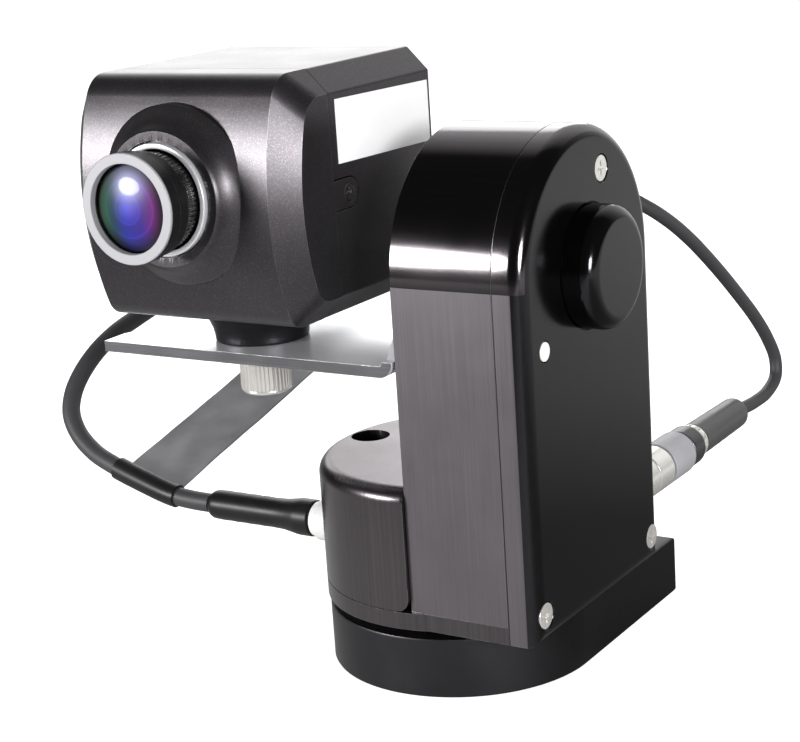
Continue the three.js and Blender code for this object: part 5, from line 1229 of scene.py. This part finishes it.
def make_bracket(middle, top, thick, axis):
    """Bracket of bright plate: a flat shelf, one bend and a leg with a round end."""
    under = top - thick
    outer, bend, tip, front, rear = 2.9, 2.6, -62, -24.3, -0.5
    inside = bend - thick
    section = [(tip, under)] + arc((outer - bend, under + bend), bend, -math.pi / 2, 0, 12)
    section += [(outer, axis + 13), (outer - thick, axis + 13)]
    section += arc((outer - thick - inside, top + inside), inside, 0, -math.pi / 2, 6) + [(tip, top)]
    bracket = layered([[(x, y, z) for x, z in section] for y in (front - OVER, 13)])
    plan = [(outer, front), (outer, rear), (-52, rear), (-59.9, -18.5), (-59.9, front)]
    shelf = layered([[(x, y, z) for x, y in plan] for z in (under - OVER, top + inside + 0.2)])
    hub, drop = 11, under - axis
    start, end = (math.atan2(drop, y) + side * math.acos(hub / math.hypot(y, drop))
                  for y, side in ((rear, 1), (front, -1)))
    leg = [(front, under), (rear, under)]
    leg += [(y, z + axis) for y, z in arc((0, 0), hub, start, end + 2 * math.pi, 60)]
    leg = layered([[(x, y, z) for y, z in leg] for x in (outer - thick - 0.2, outer + OVER)])
    bracket = combined(bracket, "INTERSECT", combined(shelf, "UNION", leg))
    holes = [rod(3.1, under - OVER, top + OVER, (middle, CAMERA_SCREW_Y, 0)),
             rod(1.7, -2, 5, (0, 0, axis), "X", 48)]
    bracket = softened(combined(bracket, "DIFFERENCE", *holes), 0.22, 40)
    # The plate's edge faces take painted shade, with painted highlight lines along their arrises
    edge_shade_faces = [("plate_edge_shade_and_highlight", lambda centre, normal: centre.x < outer - thick and abs(normal.z) < 0.6)]
    finished("platform_plate", [(bracket, "bright_aluminium")], "tilt_platform", ["camera_platform"],
             35, edge_shade_faces)


def make_knob(sizes, place):
    """The camera screw: a ridged head under the shelf and a plain shank."""
    radius = sizes.knob_radius / MM
    head = [(0, -8.3), (radius - 0.6, -8.3), (radius - 0.1, -7.8), (radius - 0.22, -7.6),
            (radius - 0.22, -0.7), (radius - 0.1, -0.5), (radius - 0.6, 0), (0, 0)]
    head = turned(eased(head, 0.15), place, "Z", 96)
    shank = rod(2.9, -0.2, 7.2, place, steps=48)
    ridge = turned(eased([(0, -7.7), (0.3, -7.5), (0.3, -0.8), (0, -0.6)], 0.15), (radius - 0.3, 0, 0),
                   "Z", 10)
    ridges = ringed(ridge, sizes.knob_ridges, (0, 0, 1), place, "nickel")
    finished("knurled_screw", [(part, "nickel") for part in (head, shank, ridges)], "camera_screw",
             ["camera_screw"])


def camera_loop(sizes, inset, y):
    """The camera's eight-sided section at a depth."""
    x, half = sizes.middle / MM, sizes.width / MM / 2 - inset
    low, high = sizes.bottom / MM + inset, (sizes.bottom + sizes.height) / MM - inset
    c = sizes.chamfer / MM - inset * (2 - math.sqrt(2))
    return [(x - half + c, y, low), (x + half - c, y, low), (x + half, y, low + c), (x + half, y, high - c),
            (x + half - c, y, high), (x - half + c, y, high), (x - half, y, high - c), (x - half, y, low + c)]


def tongue(sizes, side, gap, reach):
    """The tongue of the front shell that laps over the rear shell's side."""
    x, seam = in_mm(sizes, "middle", "seam")
    half = sizes.width / MM / 2
    middle = (sizes.bottom + sizes.height / 2) / MM
    r = TONGUE_RADIUS + gap
    end = seam + 7.2 - TONGUE_RADIUS
    outline = [(seam - reach, middle - r)] + arc((end, middle), r, -math.pi / 2, math.pi / 2, 20)
    outline.append((seam - reach, middle + r))
    low, high = half - 2 - gap, half + (OVER if gap else 0)
    return layered([[(x + side * depth, y, z) for y, z in outline] for depth in (low, high)])


class PANTILT_OT_camera(bpy.types.Operator):
    """Make the camera's two shells, its rear panel, its side screws and its blank plate"""
    bl_idname = "pan_tilt.camera"
    bl_label = "Camera"

    def execute(self, context):
        sizes = context.scene.pan_tilt_camera
        x, seam, rear = in_mm(sizes, "middle", "seam", "rear")
        half = sizes.width / MM / 2
        middle = (sizes.bottom + sizes.height / 2) / MM
        front = softened(front_shell(sizes), 0.3, 30)
        shell = layered([camera_loop(sizes, 0, y) for y in (seam, rear)])
        hollow = layered([camera_loop(sizes, 2, y) for y in (seam - OVER, rear + OVER)])
        notches = [tongue(sizes, side, 0.2, 2) for side in (1, -1)]
        shell = softened(combined(shell, "DIFFERENCE", hollow, *notches), 0.3, 30)
        panel = layered([camera_loop(sizes, 2.2, y) for y in (10.5, PANEL_REAR)])
        holes = [rod(3.7, 8, 14, (place, 0, JACK_HEIGHT), "Y", 48) for place in JACKS.values()]
        panel = softened(combined(panel, "DIFFERENCE", *holes), 0.2, 30)
        for name, shape, node in (
            ("camera_front", front, "camera_front_shell"),
            ("camera_rear", shell, "camera_rear_shell"),
            ("camera_back_panel", panel, "camera_rear_panel"),
        ):
            finished(name, [(shape, "camera_black")], "tilt_platform", [node], 30)
        places = [((x + side * (half - 0.1), seam + SIDE_SCREW_BACK, middle), (side, 0, 0), 1.5)
                  for side in (1, -1)]
        screws("side_screws", "tilt_platform", ["shell_screw_left", "shell_screw_right"], places,
               "black_steel")
        corners = [(-18.5, 93.2), (11.6, 92.6), (11.6, 103.6), (-18.5, 104.2)]
        plate = layered([[(x + half + depth, y, z) for y, z in corners] for depth in (0.005, 0.16)])
        finished("blank_plate", [(softened(plate, 0.04, 30, 1), "label")], "tilt_platform", [])
        return {"FINISHED"}


def front_shell(sizes):
    """The camera's curved nose with its lens mount and side tongues."""
    x, bottom, height, seam, chamfer = in_mm(sizes, "middle", "bottom", "height", "seam", "chamfer")
    half = sizes.width / MM / 2
    middle, nose, bow = bottom + height / 2, -34, 50

    def nose_loop(depth, inset):
        reach, half_height, rear = bow - inset, height / 2 - inset, nose + bow
        shoulders, turns = [], []
        for side, shoulder in ((1, 5.6), (-1, 4.2)):
            centre_z = half_height - shoulder
            centre_y = math.sqrt((reach - shoulder) ** 2 - centre_z ** 2)
            turns.append(math.atan2(centre_z, centre_y))
            shoulders.append(arc((rear - centre_y, side * centre_z), shoulder, side * math.pi / 2,
                                 side * (math.pi - turns[-1]), 14))
        curve = arc((rear, 0), reach, math.pi - turns[0], math.pi + turns[1], 28)[1:-1]
        points = [(-10, -half_height), (-10, half_height)] + shoulders[0] + curve + shoulders[1][::-1]
        return [(depth, y, middle + z) for y, z in points]

    shell = layered([nose_loop(x - half, chamfer), nose_loop(x - half + chamfer, 0),
                     nose_loop(x + half - chamfer, 0), nose_loop(x + half, chamfer)])
    ahead = box((x - half - 1, nose - 2, bottom - 2), (x + half + 1, seam, bottom + height + 2))
    shell = combined(shell, "INTERSECT", ahead)
    hollow = layered([camera_loop(sizes, 2.4, y) for y in (seam - 5, seam + 2)])
    shell = combined(shell, "DIFFERENCE", hollow)
    axis = (x, 0, sizes.lens_height / MM)
    mount = [(0, 25.3), (15.6, 25.3), (15.6, 32.9), (15.0, 33.5), (14.1, 34.1), (13.3, 34.8), (12.6, 35.6),
             (12.1, 36.5), (11.8, 37.0), (11.6, 37.2), (0, 37.2)]
    mount = turned(mount, axis, "-Y", 128)
    shell = combined(shell, "UNION", mount, tongue(sizes, 1, 0, 2.5), tongue(sizes, -1, 0, 2.5))
    bore = turned([(0, 20), (8.8, 20), (8.8, 36), (10.1, 36), (10.1, 40), (0, 40)], axis, "-Y", 96)
    sink = [(0, half - 5), (1, half - 5), (1, half - 0.9), (1.6, half - 0.15), (1.6, half + 2), (0, half + 2)]
    sinks = [turned(sink, (x, seam + SIDE_SCREW_BACK, middle), way, 40) for way in ("X", "-X")]
    return combined(shell, "DIFFERENCE", bore, *sinks)


class PANTILT_OT_lens(bpy.types.Operator):
    """Make the lens with its ribbed barrel, front ring, lock ring and coated glass"""
    bl_idname = "pan_tilt.lens"
    bl_label = "Lens"

    def execute(self, context):
        sizes = context.scene.pan_tilt_camera
        x, height = in_mm(sizes, "middle", "lens_height")
        axis = (x, 0, height)
        lock = eased([(8.75, 36.05), (9.7, 36.05), (9.7, 38), (8.75, 38), (8.75, 36.05)], 0.25)[:-1]
        finished("lens_lock", [(turned(lock, axis, "-Y", 128), "bright_aluminium")], "tilt_platform",
                 ["lens_lock_ring"])
        barrel = [(5.8, 28), (8.0, 28), (8.0, 41.0), (8.9, 41.15), (9.05, 41.3), (9.05, 43.5), (8.4, 43.6),
                  (8.4, 45), (7.7, 45), (7.7, 43.0), (5.8, 43.0)]
        barrel = turned(barrel, axis, "-Y", 128)
        rib = [(7.9, 0), (8.2, 0), (8.3, 0.1), (8.3, 0.45), (8.2, 0.55), (7.9, 0.55)]
        ribs = grown(host_for("ribs"), TREES["row"], {
            "Form": turned(eased(rib, 0.05), axis, "-Y", 128), "Count": sizes.barrel_ribs,
            "Start": (0, -38.5 * MM, 0), "Step": (0, -0.95 * MM, 0), "Material": SURFACES["lens_black"]})
        tooth = box((-0.16, -40.95, 7.9), (0.16, -38.45, 8.42))
        teeth = ringed(tooth, sizes.barrel_teeth, (0, 1, 0), axis, "lens_black")
        finished("lens_barrel_ribbed", [(part, "lens_black") for part in (barrel, ribs, teeth)], "lens",
                 ["lens_barrel"])
        collar = turned([(8.6, 43.6), (9.2, 43.6), (9.4, 43.8), (9.4, 46.02), (8.6, 46.02)], axis, "-Y", 160)
        face = [(7.62, 45.2), (8.5, 45.2), (8.5, 46.0), (9.4, 46.0), (9.4, 46.28), (9.28, 46.4), (7.72, 46.4),
                (7.62, 46.3)]
        finished("lens_ring", [(collar, "lens_black"), (turned(face, axis, "-Y", 160), "matte_silver")],
                 "lens", ["lens_front_ring"])
        rise, edge, steps = 1.5, 46.3, 14
        bow = (GLASS_RADIUS ** 2 + rise ** 2) / rise / 2
        sweep = math.asin(GLASS_RADIUS / bow)
        dome = [(bow * math.sin(angle), edge - bow + bow * math.cos(angle))
                for angle in (sweep * (1 - step / steps) for step in range(steps))]
        glass = turned([(0, 43), (GLASS_RADIUS, 43)] + dome + [(0, edge)], axis, "-Y", 96)
        finished("lens_element", [(glass, "coated_glass")], "lens", ["lens_glass"])
        return {"FINISHED"}


def panel_socket(place, axis, pins, body, depth, nut, height, proud, bore):
    """A round panel socket with a six-sided nut, a bore and a ring of pins."""
    shell = [(0, -depth), (body, -depth), (body, proud - 0.2), (body - 0.2, proud), (bore + 0.2, proud),
             (bore, proud - 0.2), (bore, proud - 3), (0, proud - 3)]
    inside = body * 0.85
    hexagon = [(inside, 0.02), (nut - 0.3, 0.02), (nut, 0.25), (nut, height - 0.25), (nut - 0.3, height),
               (inside, height)]
    inward = Vector(place) + AXES[axis] @ Vector((0, 0, proud - 3.1))
    pin = rod(bore * 0.12, 0, 1.8, AXES[axis] @ Vector((bore * 0.55, 0, 0)), axis, 10)
    ring = ringed(pin, pins, tuple(AXES[axis] @ Vector((0, 0, 1))), tuple(inward), "brass")
    return [(turned(shell, place, axis, 64), "nickel"), (turned(hexagon, place, axis, 6), "nickel"),
            (ring, "brass")]


class PANTILT_OT_sockets(bpy.types.Operator):
    """Make the sockets of the base, the turret, the arm and the camera, and the platform's bolt"""
    bl_idname = "pan_tilt.sockets"
    bl_label = "Sockets"

    def execute(self, context):
        head = context.scene.pan_tilt_head
        pins = context.scene.pan_tilt_cables.pins
        rear, side, half, axis = in_mm(head, "base_rear", "turret_radius", "arm_half", "tilt_height")
        base_sizes = (2.6, 7.5, 3.9, 1.1, 1.4, 1.7)
        jack_sizes = (3.5, 4.6, 4.5, 1.4, 4.0, 2.4)
        turret_sizes = (3.6, 6.4, 4.5, 1.7, 1.9, 2.8)
        arm_sizes = (2.9, 5.5, 4.5, 1.7, 1.9, 2.2)
        left_jack, right_jack = ((x, PANEL_REAR, JACK_HEIGHT) for x in JACKS.values())
        control, video = ((x, rear, BASE_PORT_HEIGHT) for x in BASE_PORTS)
        for name, node, body, place, way, sizes in (
            ("control_port", "control_socket", "base", control, "Y", base_sizes),
            ("video_port", "video_socket", "base", video, "Y", base_sizes),
            ("video_port_camera", "camera_video_jack", "tilt_platform", left_jack, "Y", jack_sizes),
            ("power_port_camera", "camera_power_jack", "tilt_platform", right_jack, "Y", jack_sizes),
            ("turret_port", "turret_socket", "pan_head", (-side, 0, TURRET_PORT[2]), "-X", turret_sizes),
            ("arm_port", "arm_socket", "pan_head", (ARM_PORT[0], half, ARM_PORT[2]), "Y", arm_sizes),
        ):
            finished(name, panel_socket(place, way, pins, *sizes), body, [node], 30)
        bolt = eased([(0, -7), (1.5, -7), (1.5, 0), (3.4, 0.02), (3.4, 1.2), (2.7, 1.9), (0, 1.9)], 0.2)
        key = rod(1.7, 0.8, 3, (BOLT_X, 0, axis), "-X", 6)
        bolt = combined(turned(bolt, (BOLT_X, 0, axis), "-X", 64), "DIFFERENCE", key)
        finished("platform_bolt_head", [(bolt, "steel")], "tilt_platform", ["platform_bolt"], 30)
        return {"FINISHED"}


class PANTILT_OT_inner(bpy.types.Operator):
    """Give the inner pieces that keep their own shape their surfaces"""
    bl_idname = "pan_tilt.inner"
    bl_label = "Inner pieces"

    def execute(self, context):
        for slot, names in SLOTS.items():
            for name in names.split():
                for material_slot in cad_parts[name].material_slots:
                    material_slot.material = SURFACES[slot]
        return {"FINISHED"}


class PANTILT_PT_panel(bpy.types.Panel):
    """Buttons for the pieces of the head"""
    bl_idname = "PANTILT_PT_panel"
    bl_label = "Pan and tilt head"
    bl_space_type = "VIEW_3D"
    bl_region_type = "UI"
    bl_category = "Pan Tilt"

    def draw(self, context):
        for step in STEPS:
            self.layout.operator(step.bl_idname)
        for name in GROUPS:
            settings = getattr(context.scene, name)
            column = self.layout.column(heading=GROUPS[name].__name__)
            for key in GROUPS[name].__annotations__:
                column.prop(settings, key)


STEPS = [PANTILT_OT_studio, PANTILT_OT_cables, PANTILT_OT_base, PANTILT_OT_turret, PANTILT_OT_arm,
         PANTILT_OT_platform, PANTILT_OT_camera, PANTILT_OT_lens, PANTILT_OT_sockets, PANTILT_OT_inner]
GROUPS = {
    "pan_tilt_head": HeadSizes,
    "pan_tilt_camera": CameraSizes,
    "pan_tilt_cables": CableSizes,
    "pan_tilt_finishes": Finishes,
    "pan_tilt_studio": StudioSettings,
}


def register():
    for kind in (*GROUPS.values(), *STEPS, PANTILT_PT_panel):
        bpy.utils.register_class(kind)
    for name, kind in GROUPS.items():
        setattr(bpy.types.Scene, name, PointerProperty(type=kind))


def unregister():
    for name in GROUPS:
        delattr(bpy.types.Scene, name)
    for kind in (PANTILT_PT_panel, *reversed(STEPS), *GROUPS.values()):
        bpy.utils.unregister_class(kind)


def main():
    """Make every piece in order."""
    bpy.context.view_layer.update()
    register()
    make_surfaces()
    TREES.update(screws=make_screw_tree(), circle=make_circle_tree(), row=make_row_tree())
    for step in STEPS:
        group_name, call = step.bl_idname.split(".")
        getattr(getattr(bpy.ops, group_name), call)()


if __name__ == "__main__":
    main()
